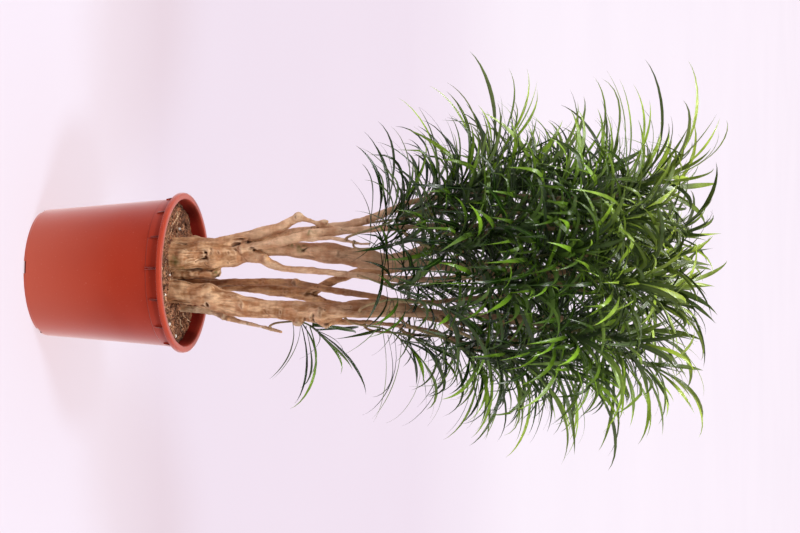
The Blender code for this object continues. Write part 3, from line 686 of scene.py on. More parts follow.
scatter("compost_crumbs", CRUMB_MODEL, CRUMB, 900, sizes=(0.0012, 0.0040), flat=3.0, sink=0.1)
scatter("bark_chips", CHIP_MODEL, CHIP, 260, sizes=(0.0020, 0.0080), flat=0.6, sink=-0.1)
scatter("perlite_grains", CRUMB_MODEL, PERLITE, 22, sizes=(0.0014, 0.0042), flat=3.0, sink=-0.4)

# %% [markdown]
# A root fibre is a thin tapered thread. It is bent over the compost's surface, so that it rises over the
# heaps instead of cutting through them. The six longest are placed one by one, each with its start, the way
# it points and its length, and the rest are drawn by lot.


# %% Root fibres and straw
def lay_fibre(start, turn, length, thick, bend):
    """Points of one fibre laid on the compost from its start, with a gentle bend."""
    points = np.empty_like(FIBRE_MODEL.points)
    for i, (a, b, share) in enumerate(FIBRE_MODEL.points):
        way = turn + bend * share
        x = start.x + length * share * math.cos(way)
        y = start.y + length * share * math.sin(way)
        x, y = x - b * thick * math.sin(way), y + b * thick * math.cos(way)
        points[i] = x, y, soil_height(x, y) + thick * (a + 1.0)
    return points


STRAW_THICK, SHORT_FIBRES = 0.0015, 110
LONG_FIBRES = (
    ((-0.132, 0.020), -0.62, 0.085), ((-0.128, 0.030), -0.50, 0.060), ((0.088, 0.060), 0.95, 0.055),
    ((0.094, 0.020), 1.15, 0.050), ((-0.055, -0.105), 0.25, 0.070), ((0.010, -0.112), 0.10, 0.060),
)
copies = []
for (x, y), turn, length in LONG_FIBRES:
    points = lay_fibre(Vector((x, y, 0)), turn, length, STRAW_THICK, draw.uniform(-0.3, 0.3))
    copies.append((FIBRE_MODEL, points, even_marks(FIBRE_MODEL, 0.9), 0))
for _ in range(SHORT_FIBRES):
    length = draw.uniform(0.012, 0.045)
    start = open_spot(SOIL_EDGE - 0.010 - length, 0.004)
    turn, thick, bend = draw.uniform(0, math.tau), draw.uniform(0.0004, 0.0009), draw.uniform(-1, 1)
    points = lay_fibre(start, turn, length, thick, bend)
    copies.append((FIBRE_MODEL, points, even_marks(FIBRE_MODEL, draw.random()), 0))
hand_over(pour("root_fibres", copies, [FIBRE]), "soil")

# %% [markdown]
# Old dracaena wood is tan and fibrous. It is smooth on the young canes, and on the stumps it is folded and
# furrowed, with pruning knots, dark hollows and a little green. The finish reads four marks that are worked
# out with the shape: how deep a point lies in a hollow or a furrow, which darkens it as painted shade, how
# green it is, whether it is cut wood, and how far it stands out from what is round it, which lightens it as
# worn edges and painted highlight.


# %% The bark's finish
def make_bark(name, dark, light, pale=0.0):
    """Blotched and streaked wood between two colours; `pale` lightens it above the stumps, as painted light."""
    made, tree, shader = new_material(name, roughness=0.8, specular_ior_level=0.3)
    place = object_place(tree)
    height = axis_of(tree, place, "Z")
    upright = add(tree, "Mapping", {"Vector": place, "Scale": (1.0, 1.0, 0.32)}).outputs["Vector"]
    deep, green, cut, proud = marks_of(tree)
    blotch = patches(tree, upright, 75.0, 0.38, 0.62, 5.0)
    warm = patches(tree, place, 34.0, 0.46, 0.62, 4.0)
    streak = patches(tree, upright, 190.0, 0.42, 0.66, 4.0)
    fleck = patches(tree, place, 330.0, 0.60, 0.72)
    colour = mix(tree, blotch, dark, light)
    # Paler above the stumps: painted light where the crown shades the left canes.
    colour = mix(tree, fit(tree, height, 0.0, pale, 0.40, 0.50), colour, (0.94, 0.66, 0.41))
    colour = mix(tree, fit(tree, warm, 0.0, 0.55), colour, (0.46, 0.18, 0.065))
    colour = mix(tree, fit(tree, streak, 0.0, 0.32), colour, (0.25, 0.11, 0.042))
    colour = mix(tree, fit(tree, fleck, 0.0, 0.40), colour, (0.20, 0.09, 0.035))
    # Paler where the wood stands out: worn edges and painted highlight.
    colour = mix(tree, fit(tree, proud, 0.0, 0.50, 0.5, 1.0), colour, (0.92, 0.70, 0.46))
    # Darker upper canes: their younger wood, and painted shade under the crown.
    young = fit(tree, height, 0.0, 0.75, 0.64, 0.92)
    colour = mix(tree, young, colour, (0.19, 0.13, 0.065))
    colour = mix(tree, green, colour, (0.15, 0.16, 0.035))
    colour = mix(tree, cut, colour, (0.74, 0.42, 0.20))
    # Darker in hollows, cracks, crevices and knot pits: painted shade.
    colour = mix(tree, deep, colour, (0.040, 0.017, 0.008))
    tree.links.new(colour, shader.inputs["Base Color"])
    relief = roughened(tree, upright, 420.0, 0.8, 0.0016)
    tree.links.new(relief, shader.inputs["Normal"])
    return made


BARKS = {
    "stem_left": make_bark("pale_tan_bark", (0.34, 0.148, 0.052), (0.74, 0.44, 0.230), 0.50),
    "stem_right": make_bark("tan_bark", (0.34, 0.150, 0.055), (0.76, 0.47, 0.255)),
    # The middle stem's darker bark: its browner tone, and painted shade behind the other stems.
    "stem_middle": make_bark("shaded_brown_bark", (0.27, 0.112, 0.040), (0.66, 0.38, 0.175)),
    "stem_thin": make_bark("grey_bark", (0.46, 0.29, 0.15), (0.80, 0.60, 0.40)),
}
print(*(bark.name for bark in BARKS.values()))

# %% [markdown]
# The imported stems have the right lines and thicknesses, but flat sides. A copy of each is merged, remeshed
# into small even faces and smoothed, which rounds the canes and melts every fork into one piece of wood.

# %% Rounded stems
VOXEL = 0.0022


def rounded_stem(solid_name, name):
    """A smooth, evenly meshed copy of a packed stem."""
    piece = bpy.data.objects.new(name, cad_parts[solid_name].data.copy())
    bpy.context.scene.collection.objects.link(piece)
    piece.data.materials.clear()
    choose(piece)
    bpy.ops.object.mode_set(mode="EDIT")
    bpy.ops.mesh.select_all(action="SELECT")
    bpy.ops.mesh.remove_doubles(threshold=0.00001)
    bpy.ops.object.mode_set(mode="OBJECT")
    apply_modifier(piece, "REMESH", mode="VOXEL", voxel_size=VOXEL)
    apply_modifier(piece, "SMOOTH", factor=0.5, iterations=12)
    print(name, len(piece.data.vertices), "points")
    return piece


stems = {name: rounded_stem(name, "woody_" + name) for name in WOOD}

# %% [markdown]
# These are the features that the photograph shows on the wood, as places in millimetres: swellings, each
# with a radius and a height; knots, where a branch was lost, each a small swelling with a pit; hollows,
# torn or rotted, with their half width, half height and depth; crevices along a line, with a half width and
# a depth; cut ends; and patches of green. More small knots are scattered over each stem by a seeded draw.

# %% Swellings, knots, hollows, crevices, cuts and moss
SWELLINGS = {
    "stem_left": [((-36, -33, 316), 15, 6), ((-59, -22, 348), 13, 4.5), ((-18, -16, 379), 12, 4.5),
                  ((-43, -25, 402), 10, 3.5), ((-66, -8, 478), 12, 3), ((-117, -14, 564), 9, 4),
                  ((-106, -11, 618), 6, 3.5), ((-98, -4, 603), 8, 3), ((-50, 2, 592), 15, 4),
                  ((-83, -32, 595), 8, 2.5), ((-35, -22, 494), 8, 3), ((-52, -20, 436), 10, 3),
                  ((4, -12, 330), 10, 3), ((-28, 40, 600), 12, 3), ((-70, 14, 330), 12, 3)],
    "stem_right": [((46, -32, 424), 14, 4), ((29, -34, 374), 13, 5), ((52, -44, 382), 12, 4),
                   ((104, -17, 641), 10, 7), ((109, -30, 625), 8, 5), ((99, -27, 565), 9, 7),
                   ((82, -41, 616), 10, 3.5), ((79, -38, 652), 11, 3.5), ((70, -38, 448), 9, 3),
                   ((60, 6, 420), 14, 3), ((64, -10, 560), 12, 3)],
    "stem_middle": [((20, 36, 545), 7, 4.5), ((27, 48, 340), 12, 3), ((46, 82, 560), 12, 3),
                    ((40, 78, 470), 9, 2.5)],
    "stem_thin": [((91, 32, 386), 5, 3), ((98, 29, 400), 4, 2), ((79, 40, 320), 6, 2)],
}
KNOTS = {
    "stem_left": [((-43, -27, 393), 5, 2.2), ((-43, -23, 414), 5, 2.2), ((-21, -14, 410), 5, 2.0),
                  ((-95, 0, 589), 7, 2.5), ((-109, -16, 713), 6, 2.0), ((-34, -24, 496), 5, 1.5),
                  ((-41, 2, 646), 6, 1.2), ((-116, -20, 560), 6, 2.0), ((3, -14, 345), 5, 1.5)],
    "stem_right": [((82, -37, 531), 5, 1.8), ((72, -39, 447), 6, 2.0), ((84, -42, 618), 8, 2.5),
                   ((108, -20, 630), 7, 2.5), ((101, -30, 566), 6, 2.5), ((30, -36, 363), 6, 2.0),
                   ((66, -36, 410), 4, 1.5), ((94, -38, 598), 6, 2.0)],
    "stem_middle": [((20, 39, 471), 5, 1.8), ((22, 33, 544), 5, 1.5), ((31, 35, 593), 4, 1.2),
                    ((43, 79, 508), 6, 1.6), ((38, 80, 430), 4, 1.2)],
    "stem_thin": [((92, 31, 386), 4, 1.5), ((81, 36, 323), 3, 1.0), ((108, 28, 440), 3, 1.0)],
}
HOLLOWS = {
    "stem_left": [((-40, -31, 366), 7.5, 4.5, 8), ((-37, -34, 344), 19, 27, 3.3),
                  ((-70, -18, 430), 5, 14, 4), ((-49, -26, 466), 6, 10, 6)],
    "stem_right": [((67, -39, 372), 6, 4.5, 10)],
    "stem_middle": [((20, 38, 455), 4, 7, 2.5), ((46, 84, 574), 7, 10, 6)],
    "stem_thin": [],
}
CREVICES = {
    "stem_left": [([(-67, -2, 474), (-63, -9, 446), (-59, -17, 422)], 3.4, 7),
                  ([(-73, -12, 456), (-66, -21, 424), (-62, -24, 404)], 2.4, 4),
                  ([(-9, -15, 388), (-6, -13, 350), (-8, -15, 296)], 3.2, 6),
                  ([(-54, -28, 376), (-46, -31, 379), (-36, -31, 374)], 1.6, 3),
                  ([(16, -5, 380), (17, -5, 296)], 6.0, 2),
                  ([(-31, -31, 367), (-26, -30, 358), (-21, -29, 344)], 3.4, 8),
                  ([(-46, -31, 364), (-47, -32, 345), (-45, -34, 324)], 1.6, 3),
                  ([(4, -8, 393), (11, -6, 380)], 6.5, 1.5),
                  ([(-60, 2, 604), (-54, 1, 578), (-44, -1, 566)], 2.2, 4),
                  ([(-95, -3, 606), (-92, -4, 578)], 2.4, 4), ([(-70, 4, 560), (-66, 2, 520)], 3.0, 4),
                  ([(-64, -24, 320), (-66, -20, 296)], 2.6, 3.5)],
    "stem_right": [([(65, -36, 338), (62, -37, 298)], 2.4, 4), ([(18, -22, 350), (18, -22, 296)], 5.0, 2),
                   ([(73, -34, 366), (66, -40, 346)], 2.2, 3.5),
                   ([(86, -42, 603), (100, -33, 600), (104, -24, 602)], 3.4, 4.5),
                   ([(94, -32, 583), (100, -28, 580)], 3.0, 4),
                   ([(101, -33, 642), (107, -31, 634), (105, -31, 625)], 2.4, 3.5),
                   ([(95, -28, 640), (96, -30, 616)], 3.0, 4.5)],
    "stem_middle": [([(46, 84, 590), (45, 85, 556)], 3.5, 5), ([(30, 48, 420), (29, 50, 330)], 3.0, 3)],
    "stem_thin": [],
}
CUTS = {
    "stem_left": [((-31, -21, 502), 9), ((-108, -7, 630), 7), ((-112, -12, 584), 5)],
    "stem_right": [((109, -23, 636), 7), ((106, -22, 562), 6), ((79, -14, 664), 8)],
    "stem_middle": [((19, 33, 550), 7), ((46, 97, 576), 9)],
    "stem_thin": [((126, 28, 519), 6), ((99, 26, 400), 5)],
}
MOSS = {
    "stem_left": [((-54, 0, 566), 17), ((-83, -30, 592), 9), ((-60, 5, 545), 12), ((-12, -20, 312), 16),
                  ((-26, -34, 300), 15), ((0, -10, 384), 14), ((-95, 2, 600), 12)],
    "stem_right": [((98, -20, 600), 10)],
    "stem_middle": [((30, 60, 350), 22)],
    "stem_thin": [((79, 40, 310), 8)],
}
SMALL_KNOTS = {"stem_left": 16, "stem_right": 8, "stem_middle": 8, "stem_thin": 3}
knot_count, hollow_count = (sum(len(found) for found in kind.values()) for kind in (KNOTS, HOLLOWS))
print(knot_count, "knots,", hollow_count, "hollows")


# %% Arrays of a mesh's points
def mesh_arrays(mesh):
    """The mesh's points, their normals, and the point numbers of its edges."""
    spots, ways = np.empty(len(mesh.vertices) * 3), np.empty(len(mesh.vertices) * 3)
    edges = np.empty(len(mesh.edges) * 2, int)
    mesh.vertices.foreach_get("co", spots)
    mesh.vertices.foreach_get("normal", ways)
    mesh.edges.foreach_get("vertices", edges)
    return spots.reshape(-1, 3), ways.reshape(-1, 3), edges.reshape(-1, 2)


def averaged(values, edges, times):
    """Each point's value evened out with its neighbours', several times over."""
    ends = np.concatenate([edges, edges[:, ::-1]])
    counts = np.bincount(ends[:, 0], minlength=len(values))
    for _ in range(times):
        sums = [np.bincount(ends[:, 0], column[ends[:, 1]], len(values)) for column in values.T]
        values = (values + np.stack(sums, axis=1) / counts[:, None]) / 2
    return values


def cloud(spots, scale):
    """Smooth noise, from about -1 to 1, at each spot; three scales stretch it along the axes."""
    return np.array([noise.noise(Vector(spot)) for spot in spots * np.array(scale)])


# %% [markdown]
# The bark's relief is worked out from how thick the wood is. A ray sent inwards from each point measures
# that. Old, thick wood gets meandering folds, lumps, furrows and cracks, and thin canes only faint rings of
# leaf scars. Noise whose own place is first shifted by more noise gives folds that wander as real ones do.
# The shifting noise takes its seed from the clock unless it's given one. With one of its own, every run
# grows the same bark.

# %% Relief of the bark
THICK, BARK_SEED = 0.055, 5
noise.seed_set(BARK_SEED)


def thickness_share(mesh, spots, ways, edges):
    """How thick the wood is below each point: 0 for nothing, 1 for a stump, with soft changes."""
    tree = BVHTree.FromPolygons([v.co for v in mesh.vertices], [face.vertices for face in mesh.polygons])
    found = []
    for spot, way in zip(spots, ways):
        hit = tree.ray_cast(Vector(spot - way * 0.0005), Vector(-way), THICK)
        found.append(hit[3] / THICK if hit[0] else 1.0)
    return averaged(np.array(found)[:, None], edges, 12)[:, 0]


def bark_relief(spots, share):
    """The raised bark in metres at each point, and how far the point lies in a crack, from 0 to 1."""
    drift = spots + 0.010 * np.array([noise.noise_vector(Vector(spot)) for spot in spots * 16])
    folds = 0.6 - 2 * np.abs(cloud(drift, (34, 34, 11)))
    lumps = cloud(drift, (24, 24, 20))
    knobs = cloud(drift, (62, 62, 46))
    furrows = cloud(drift, (130, 130, 24))
    rings = cloud(drift, (9, 9, 170))
    grain = cloud(spots, (330, 330, 120))
    cracks = np.clip(1 - np.abs(cloud(drift, (60, 60, 11))) / 0.05, 0, 1) * np.clip(share * 1.6 - 0.35, 0, 1)
    cracks *= np.clip(2.5 * cloud(drift, (30, 30, 22)), 0, 1)
    rise = share * (0.0016 * folds + 0.0064 * lumps + 0.0007 * furrows) + 0.0018 * knobs
    return rise + 0.00050 * rings + 0.00035 * grain - 0.0012 * cracks, cracks


def away_from(spots, place, stretch=(1, 1, 1)):
    """Distance of every point from a place in millimetres, with each axis stretched by a factor."""
    return np.linalg.norm((spots - np.array(place) * MM) * np.array(stretch), axis=1) / MM


def away_from_line(spots, line):
    """Distance of every point from a line of places, in millimetres."""
    nearest = np.full(len(spots), np.inf)
    for a, b in zip(line, line[1:]):
        start, run = np.array(a) * MM, (np.array(b) - np.array(a)) * MM
        share = np.clip((spots - start) @ run / (run @ run), 0, 1)
        nearest = np.minimum(nearest, np.linalg.norm(spots - start - share[:, None] * run, axis=1))
    return nearest / MM


# %% Carve the stems
HOLLOW_REACH = 0.024
KNOT_STRETCH, KNOT_HEIGHTS = (0.85, 1, 1.5), (0.30, 0.95)
STANDS_OUT = 0.0009


def small_knots(spots, count):
    """Knots at drawn points of the wood, between the compost and the crown."""
    found = []
    while len(found) < count:
        spot = spots[draw.randrange(len(spots))]
        if KNOT_HEIGHTS[0] < spot[2] < KNOT_HEIGHTS[1]:
            found.append((spot / MM, draw.uniform(2.2, 4.5), draw.uniform(0.6, 1.5)))
    return found


def carve_bark(piece, solid_name):
    """Displaces every point by its bark and the stem's features, and stores the four marks of the finish."""
    mesh = piece.data
    spots, ways, edges = mesh_arrays(mesh)
    rise, cracks = bark_relief(spots, thickness_share(mesh, spots, ways, edges))
    # `deep` gathers painted shade for cracks, knot pits, hollows, crevices and the hollows of the relief.
    deep = 0.5 * cracks
    bent = 1 + cloud(spots, (120, 120, 90))
    for place, radius, height in SWELLINGS[solid_name]:
        rise += height * MM * np.exp(-((away_from(spots, place) / radius) ** 2))
    for place, width, height in [*KNOTS[solid_name], *small_knots(spots, SMALL_KNOTS[solid_name])]:
        away = away_from(spots, place, KNOT_STRETCH) / width * bent
        swelling, pit = np.exp(-((away / 1.2) ** 2)), np.exp(-((away / 0.50) ** 2))
        rise += height * MM * (swelling - 1.1 * pit)
        deep = np.maximum(deep, 0.60 * pit)
    fibres = np.clip(cloud(spots, (170, 170, 16)) * 2.5, 0, 1)
    for place, wide, tall, depth in HOLLOWS[solid_name]:
        reach = np.array((wide * MM, HOLLOW_REACH, tall * MM))
        inside = 1 - np.linalg.norm((spots - np.array(place) * MM) / reach, axis=1)
        inside = np.clip((inside + 0.25 * cloud(spots, (260, 260, 90))) * 2.2, 0, 1)
        rise -= depth * MM * inside * (1 - 0.75 * fibres)
        deep = np.maximum(deep, inside * min(1.0, max(0.0, depth - 3) / 4) * (1 - 0.8 * fibres))
    for line, width, depth in CREVICES[solid_name]:
        inside = np.exp(-((away_from_line(spots, line) / width * bent) ** 2))
        rise -= depth * MM * inside
        deep = np.maximum(deep, 0.95 * inside ** 1.5)
    green = np.max([1 - away_from(spots, place) / radius for place, radius in MOSS[solid_name]], axis=0)
    cut = np.max([1 - away_from(spots, place) / radius for place, radius in CUTS[solid_name]], axis=0)
    green = np.clip(green, 0, 0.7) * np.clip(0.6 + 1.8 * cloud(spots, (160, 160, 160)), 0, 1)
    moved = spots + ways * rise[:, None]
    # `proud` lightens ridges in the finish, as worn edges and painted highlight; its hollows add painted shade.
    proud = np.sum((moved - averaged(moved, edges, 4)) * ways, axis=1) / STANDS_OUT
    deep = np.maximum(deep, np.clip(-proud, 0, 1) * 0.6)
    marks = np.stack([deep, green, np.clip(2 * cut, 0, 1), 0.5 + 0.5 * np.clip(proud, -1, 1)], axis=1)
    mesh.vertices.foreach_set("co", moved.ravel())
    stored = mesh.color_attributes.new("marks", "FLOAT_COLOR", "POINT")
    stored.data.foreach_set("color", marks.ravel())
    mesh.update()
    mesh.shade_smooth()
    mesh.materials.append(BARKS[solid_name])


for solid_name, piece in stems.items():
    carve_bark(piece, solid_name)
    hand_over(piece, "bark", solid_name)

# %% [markdown]
# A dracaena leaf is a long strap, narrow where it leaves the stem, broadest past its middle, and drawn out
# to a thin tip. It is folded a little along its middle, and it twists as it arches over. One leaf is drawn
# out from a circle of only four corners: two margins, the groove above and the keel below. That gives a
# thin closed leaf of under fifty faces, which is all that thousands of copies can afford. The young cane
# that carries the leaves is drawn out in the same way, with a swollen foot.

# %% The models of a leaf and of a young cane
LEAF_STATIONS = (
    (0.00, 0.66), (0.03, 0.52), (0.12, 0.50), (0.25, 0.60), (0.38, 0.80), (0.50, 0.96),
    (0.59, 1.00), (0.67, 0.90), (0.76, 0.68), (0.85, 0.42), (0.93, 0.20), (1.00, 0.01),
)
LEAF_MODEL = Pattern(draw_out("leaf", 4, [(share, wide, 1 - 0.7 * share) for share, wide in LEAF_STATIONS]))
CANE_STEPS = 28


def cane_swelling(share):
    """The cane's radius along its length: a flared foot, and a slow taper with leaf scars."""
    scar = 0.05 if int(share * CANE_STEPS) % 2 else 0.0
    return 1.0 - 0.34 * share + 0.55 * math.exp(-share * 26) + scar


CANE_RADII = [(k / CANE_STEPS, cane_swelling(k / CANE_STEPS)) for k in range(CANE_STEPS + 1)]
CANE_MODEL = Pattern(draw_out("young_cane", 9, [(share, r, r) for share, r in CANE_RADII]))
print(len(LEAF_MODEL.sizes), "faces a leaf,", len(CANE_MODEL.sizes), "faces a cane")

# %% [markdown]
# Each packed shoot says where its leaves grow. Its blades are chains of three-cornered rings that end in a
# point where only three edges meet, so walking back from each such point finds the blade's line. What is
# left is the core: eight rings of four points below a bud, whose middles give the line of the young cane.


# %% Read a shoot's lines from its solid
WELD = 20000
RINGS_OF_CORE = 8


def linked_points(mesh):
    """The mesh's points, with its doubles merged, and the neighbours of each."""
    numbers, points, near = {}, [], []
    index = []
    for v in mesh.vertices:
        key = tuple(round(c * WELD) for c in v.co)
        if key not in numbers:
            numbers[key] = len(points)
            points.append(np.array(v.co))
            near.append(set())
        index.append(numbers[key])
    for face in mesh.polygons:
        ring = {index[i] for i in face.vertices}
        for i in ring:
            near[i] |= ring - {i}
    return points, near


def layers_from(near, first, allowed, count):
    """Layers of neighbours, from one point outwards, within the allowed points."""
    seen, layers = {first}, [{first}]
    while layers[-1] and len(layers) <= count:
        layers.append({j for i in layers[-1] for j in near[i] if j in allowed} - seen)
        seen |= layers[-1]
    return layers[1:]


def middle_of(points, ring):
    """The mean of a ring's points."""
    return sum(points[i] for i in ring) / len(ring)


def middle_of_margins(points, ring):
    """Half-way between the two corners that lie farthest apart."""
    pairs = [(a, b) for a in ring for b in ring if a < b]
    a, b = max(pairs, key=lambda pair: np.linalg.norm(points[pair[0]] - points[pair[1]]))
    return (points[a] + points[b]) / 2


def read_shoot(mesh):
    """The spots along the young cane, seat first, and those along each blade, root first."""
    points, near = linked_points(mesh)
    everything = set(range(len(points)))
    blades, blade_points = [], set()
    for tip in (i for i in everything if len(near[i]) == 3):
        rings = layers_from(near, tip, everything, 4)
        spots = [middle_of(points, rings[3]), *(middle_of_margins(points, ring) for ring in rings[2::-1])]
        blades.append([*spots, points[tip]])
        blade_points |= {tip}.union(*rings[:3])
    core = everything - blade_points
    for bud in core:
        rings = layers_from(near, bud, core, RINGS_OF_CORE)
        if [len(ring) for ring in rings] == [4] * RINGS_OF_CORE:
            return [middle_of(points, ring) for ring in rings[::-1]] + [points[bud]], blades
    raise ValueError("no bud in " + mesh.name)


SHOOTS = sorted(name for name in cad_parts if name.startswith("leafy_shoot"))
shoots = {name: read_shoot(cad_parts[name].data) for name in SHOOTS}
print(len(shoots), "shoots,", sum(len(blades) for _, blades in shoots.values()), "blades")

# %% [markdown]
# Bending is arithmetic on arrays. A line is a row of evenly spaced spots, and `lay_along` puts a model on
# it: the model's X goes across the line, its Y above it, and its Z along it. The leaf's fold and twist are
# added on the way.

# %% Lay a model along a line
LINE_STEPS = 40
BLADE_SHARES = (0.0, 0.09, 0.40, 0.72, 1.0)
SHARES = np.linspace(0, 1, LINE_STEPS + 1)


def line_through(spots, shares):
    """The smooth line through a few spots, each at its share of the length."""
    factors = np.linalg.solve(np.vander(shares), np.array(spots))
    return np.vander(SHARES, len(shares)) @ factors


def resampled(spots):
    """A row of spots along straight steps, spaced evenly and smoothed."""
    spots = np.array(spots)
    lengths = np.linalg.norm(np.diff(spots, axis=0), axis=1)
    shares = np.concatenate([[0], np.cumsum(lengths)]) / lengths.sum()
    line = np.stack([np.interp(SHARES, shares, spots[:, k]) for k in range(3)], axis=1)
    for _ in range(14):
        line[1:-1] = (line[:-2] + 2 * line[1:-1] + line[2:]) / 4
    return line


def lay_along(pattern, line, wide, deep, fold=0.0, twist=0.0, foot=0.0):
    """The model's points bent along the line, folded, twisted and made broader near their foot."""
    ways = np.gradient(line, axis=0)
    heading = line[-1] - line[0]
    level = np.array((-heading[1], heading[0], 0.0))
    level /= max(np.linalg.norm(level), 1e-6)
    a, b, share = pattern.points.T
    a = a * (1 + foot * (1 - share) ** 2)
    at = share * LINE_STEPS
    numbers = np.arange(LINE_STEPS + 1)
    spot = np.stack([np.interp(at, numbers, line[:, k]) for k in range(3)], axis=1)
    way = np.stack([np.interp(at, numbers, ways[:, k]) for k in range(3)], axis=1)
    way /= np.linalg.norm(way, axis=1, keepdims=True)
    across = level - way * (way @ level)[:, None]
    across /= np.linalg.norm(across, axis=1, keepdims=True)
    over = np.cross(way, across)
    turn = (twist * share ** 0.6)[:, None]
    side = across * np.cos(turn) + over * np.sin(turn)
    top = over * np.cos(turn) - across * np.sin(turn)
    lift = b * deep + fold * (1 - 0.6 * share) * np.abs(a) * wide
    return spot + side * (a * wide)[:, None] + top * lift[:, None]


# %% [markdown]
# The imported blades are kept, each as one finished leaf on exactly the same line. Between them a real shoot
# has many more, which grow one after the other round the stem, each turned from the last by the golden
# angle. The lowest leaves are the oldest: they stand out level and droop, while the youngest at the top
# still point along the stem. Some are bent over sharply part of the way along. A leaf that would cut
# through the wood, hang in front of the bare canes or reach outside the plant's known size is drawn again.
# Only the low sprout's own leaves may hang in front of the canes.

# %% Where a leaf may lie
OUTSIDE = 0.008
BOX_LOW, BOX_HIGH = np.array(solids_box[0]) - OUTSIDE, np.array(solids_box[1]) + OUTSIDE
BARE_X, BARE_HALF, BARE_BACK = -0.005, 0.145, 0.0
BARE_SPLIT, LEFT_BARE_TOP, RIGHT_BARE_TOP = 0.035, 0.72, 0.90
SPROUT_TOP = 0.66
WOOD_GAP = 0.004


def stays_clear(line, low, high):
    """True for a leaf line inside both boxes, not in front of the bare canes, and clear of the wood."""
    if (line < np.maximum(BOX_LOW, low)).any() or (line > np.minimum(BOX_HIGH, high)).any():
        return False
    in_front = (np.abs(line[:, 0] - BARE_X) < BARE_HALF) & (line[:, 1] < BARE_BACK)
    in_front &= line[0][2] > SPROUT_TOP
    bare_top = np.where(line[in_front, 0] > BARE_SPLIT, RIGHT_BARE_TOP, LEFT_BARE_TOP)
    if (line[in_front, 2] < bare_top).any():
        return False
    return all(WOOD_TREE.find_nearest(Vector(spot))[3] > WOOD_GAP for spot in line[6::5])


# %% A line drawn for each further leaf
CANE_RADIUS = 0.0048
KINK_SHARE, KINK_LENGTH = 0.34, 0.12
STEEPEST = math.radians(-86)
leaf_draw = random.Random(23)


def clamped(value, low=0.0, high=1.0):
    """The value, kept between two others."""
    return min(high, max(low, value))


def arching_line(root, heading, length, droop, sway, late, kink, kink_at):
    """A line that leaves its root with a heading, bows down by `droop`, and folds by `kink` at a share."""
    rise = math.asin(clamped(heading[2], -1.0))
    folded = kink * np.clip((SHARES - kink_at) / KINK_LENGTH, 0, 1)
    pitch = np.maximum(rise - droop * SHARES ** late - folded, STEEPEST)
    turn = math.atan2(heading[1], heading[0]) + sway * SHARES
    steps = np.stack([np.cos(turn) * np.cos(pitch), np.sin(turn) * np.cos(pitch), np.sin(pitch)], axis=1)
    return root + np.cumsum(steps, axis=0) * (length / LINE_STEPS)


def drawn_line(spot, stem_way, side, youth, blade_length):
    """A leaf's line: an old leaf opens wide and droops, and a young one keeps close to the stem."""
    open_by = math.radians(74 - 58 * youth ** 1.1 + leaf_draw.uniform(-18, 16))
    heading = stem_way * math.cos(open_by) + side * math.sin(open_by)
    droop = math.radians(50 + 34 * (1 - youth) + leaf_draw.uniform(-30, 50))
    length = blade_length * leaf_draw.uniform(0.66, 1.04) * (0.98 - 0.34 * youth ** 2)
    root = spot + np.array(side) * CANE_RADIUS * 0.5
    sway, late = leaf_draw.uniform(-0.65, 0.65), leaf_draw.uniform(1.2, 3.4)
    outward, above = heading.x ** 2, clamped((spot[2] - 1.12) / 0.22)
    droop *= 1 - 0.32 * outward - 0.30 * above
    kinked = leaf_draw.random() < KINK_SHARE * (1.0 if heading.y < -0.3 else 0.2)
    kink = math.radians(leaf_draw.uniform(35, 90)) if kinked else 0.0
    kink_at = leaf_draw.uniform(0.34, 0.76)
    return arching_line(root, np.array(heading), length, droop, sway, late, kink, kink_at)


# %% [markdown]
# Each leaf is then given its own width, fold, twist and tone. Leaves near the plant's sides are narrower.
# The tone is what tells one leaf from its neighbours: most of it is drawn by lot, and the rest comes from
# the leaf's youth and, as painted light, from how high and how far out its tip lies. Squaring it keeps most
# leaves dark.

# %% One finished leaf
LEAF_HALF_WIDTH, LEAF_DEPTH = (0.0030, 0.0062), 0.00040
CROWN_X, CROWN_FOOT, CROWN_RISE = -0.02, 0.80, 0.60


def leaf_marks(tone):
    """The four marks of each point of a leaf: its tone, the way along, the way across, and the underside."""
    a, b, share = LEAF_MODEL.points.T
    width = np.maximum(np.interp(share, *zip(*LEAF_STATIONS)), 1e-6)
    across = 0.5 + 0.5 * a / width
    under = np.where(np.abs(a) > 1e-6, 0.5, np.where(b > 0, 0.0, 1.0))
    return np.stack([np.full(len(share), tone), share, across, under], axis=1)


def leaf_tone(tip, youth):
    """Paler for a young leaf, with painted light near the plant's top and far from its middle, and a draw for
    each leaf.
    """
    level = max(-0.10, (tip[2] - CROWN_FOOT) / CROWN_RISE)
    side = max(0.0, abs(tip[0] - CROWN_X) - 0.18)
    drawn = leaf_draw.uniform(-0.46, 0.64)
    # Height and distance from the middle add painted light; the floor keeps high leaves painted pale.
    tone = min(1.0, 0.10 + 0.22 * youth + 0.33 * level + 1.9 * side + drawn)
    return max(0.50 * max(0.0, level), tone) ** 2.0


def finished_leaf(line, youth, slim=1.0):
    """One leaf on its line, with a drawn width, fold and twist; a young leaf is broader at its foot."""
    wide = leaf_draw.uniform(*LEAF_HALF_WIDTH) * (0.55 + 0.45 * min(1.0, np.ptp(line, axis=0).max() / 0.16))
    wide *= slim * (1 - 0.9 * max(0.0, abs(line[-1][0] - CROWN_X) - 0.13))
    fold, twist = leaf_draw.uniform(0.25, 0.55), leaf_draw.choice((-1, 1)) * leaf_draw.uniform(0.1, 1.7)
    points = lay_along(LEAF_MODEL, line, wide, LEAF_DEPTH, fold, twist, 0.9 * youth)
    return LEAF_MODEL, points, leaf_marks(leaf_tone(line[-1], youth)), 0


# %% A spiral of leaves on a young cane
GOLDEN = math.radians(137.508)
LEAF_SPACING, LEAFLESS, LEAF_TRIES = 0.0018, 0.02, 8


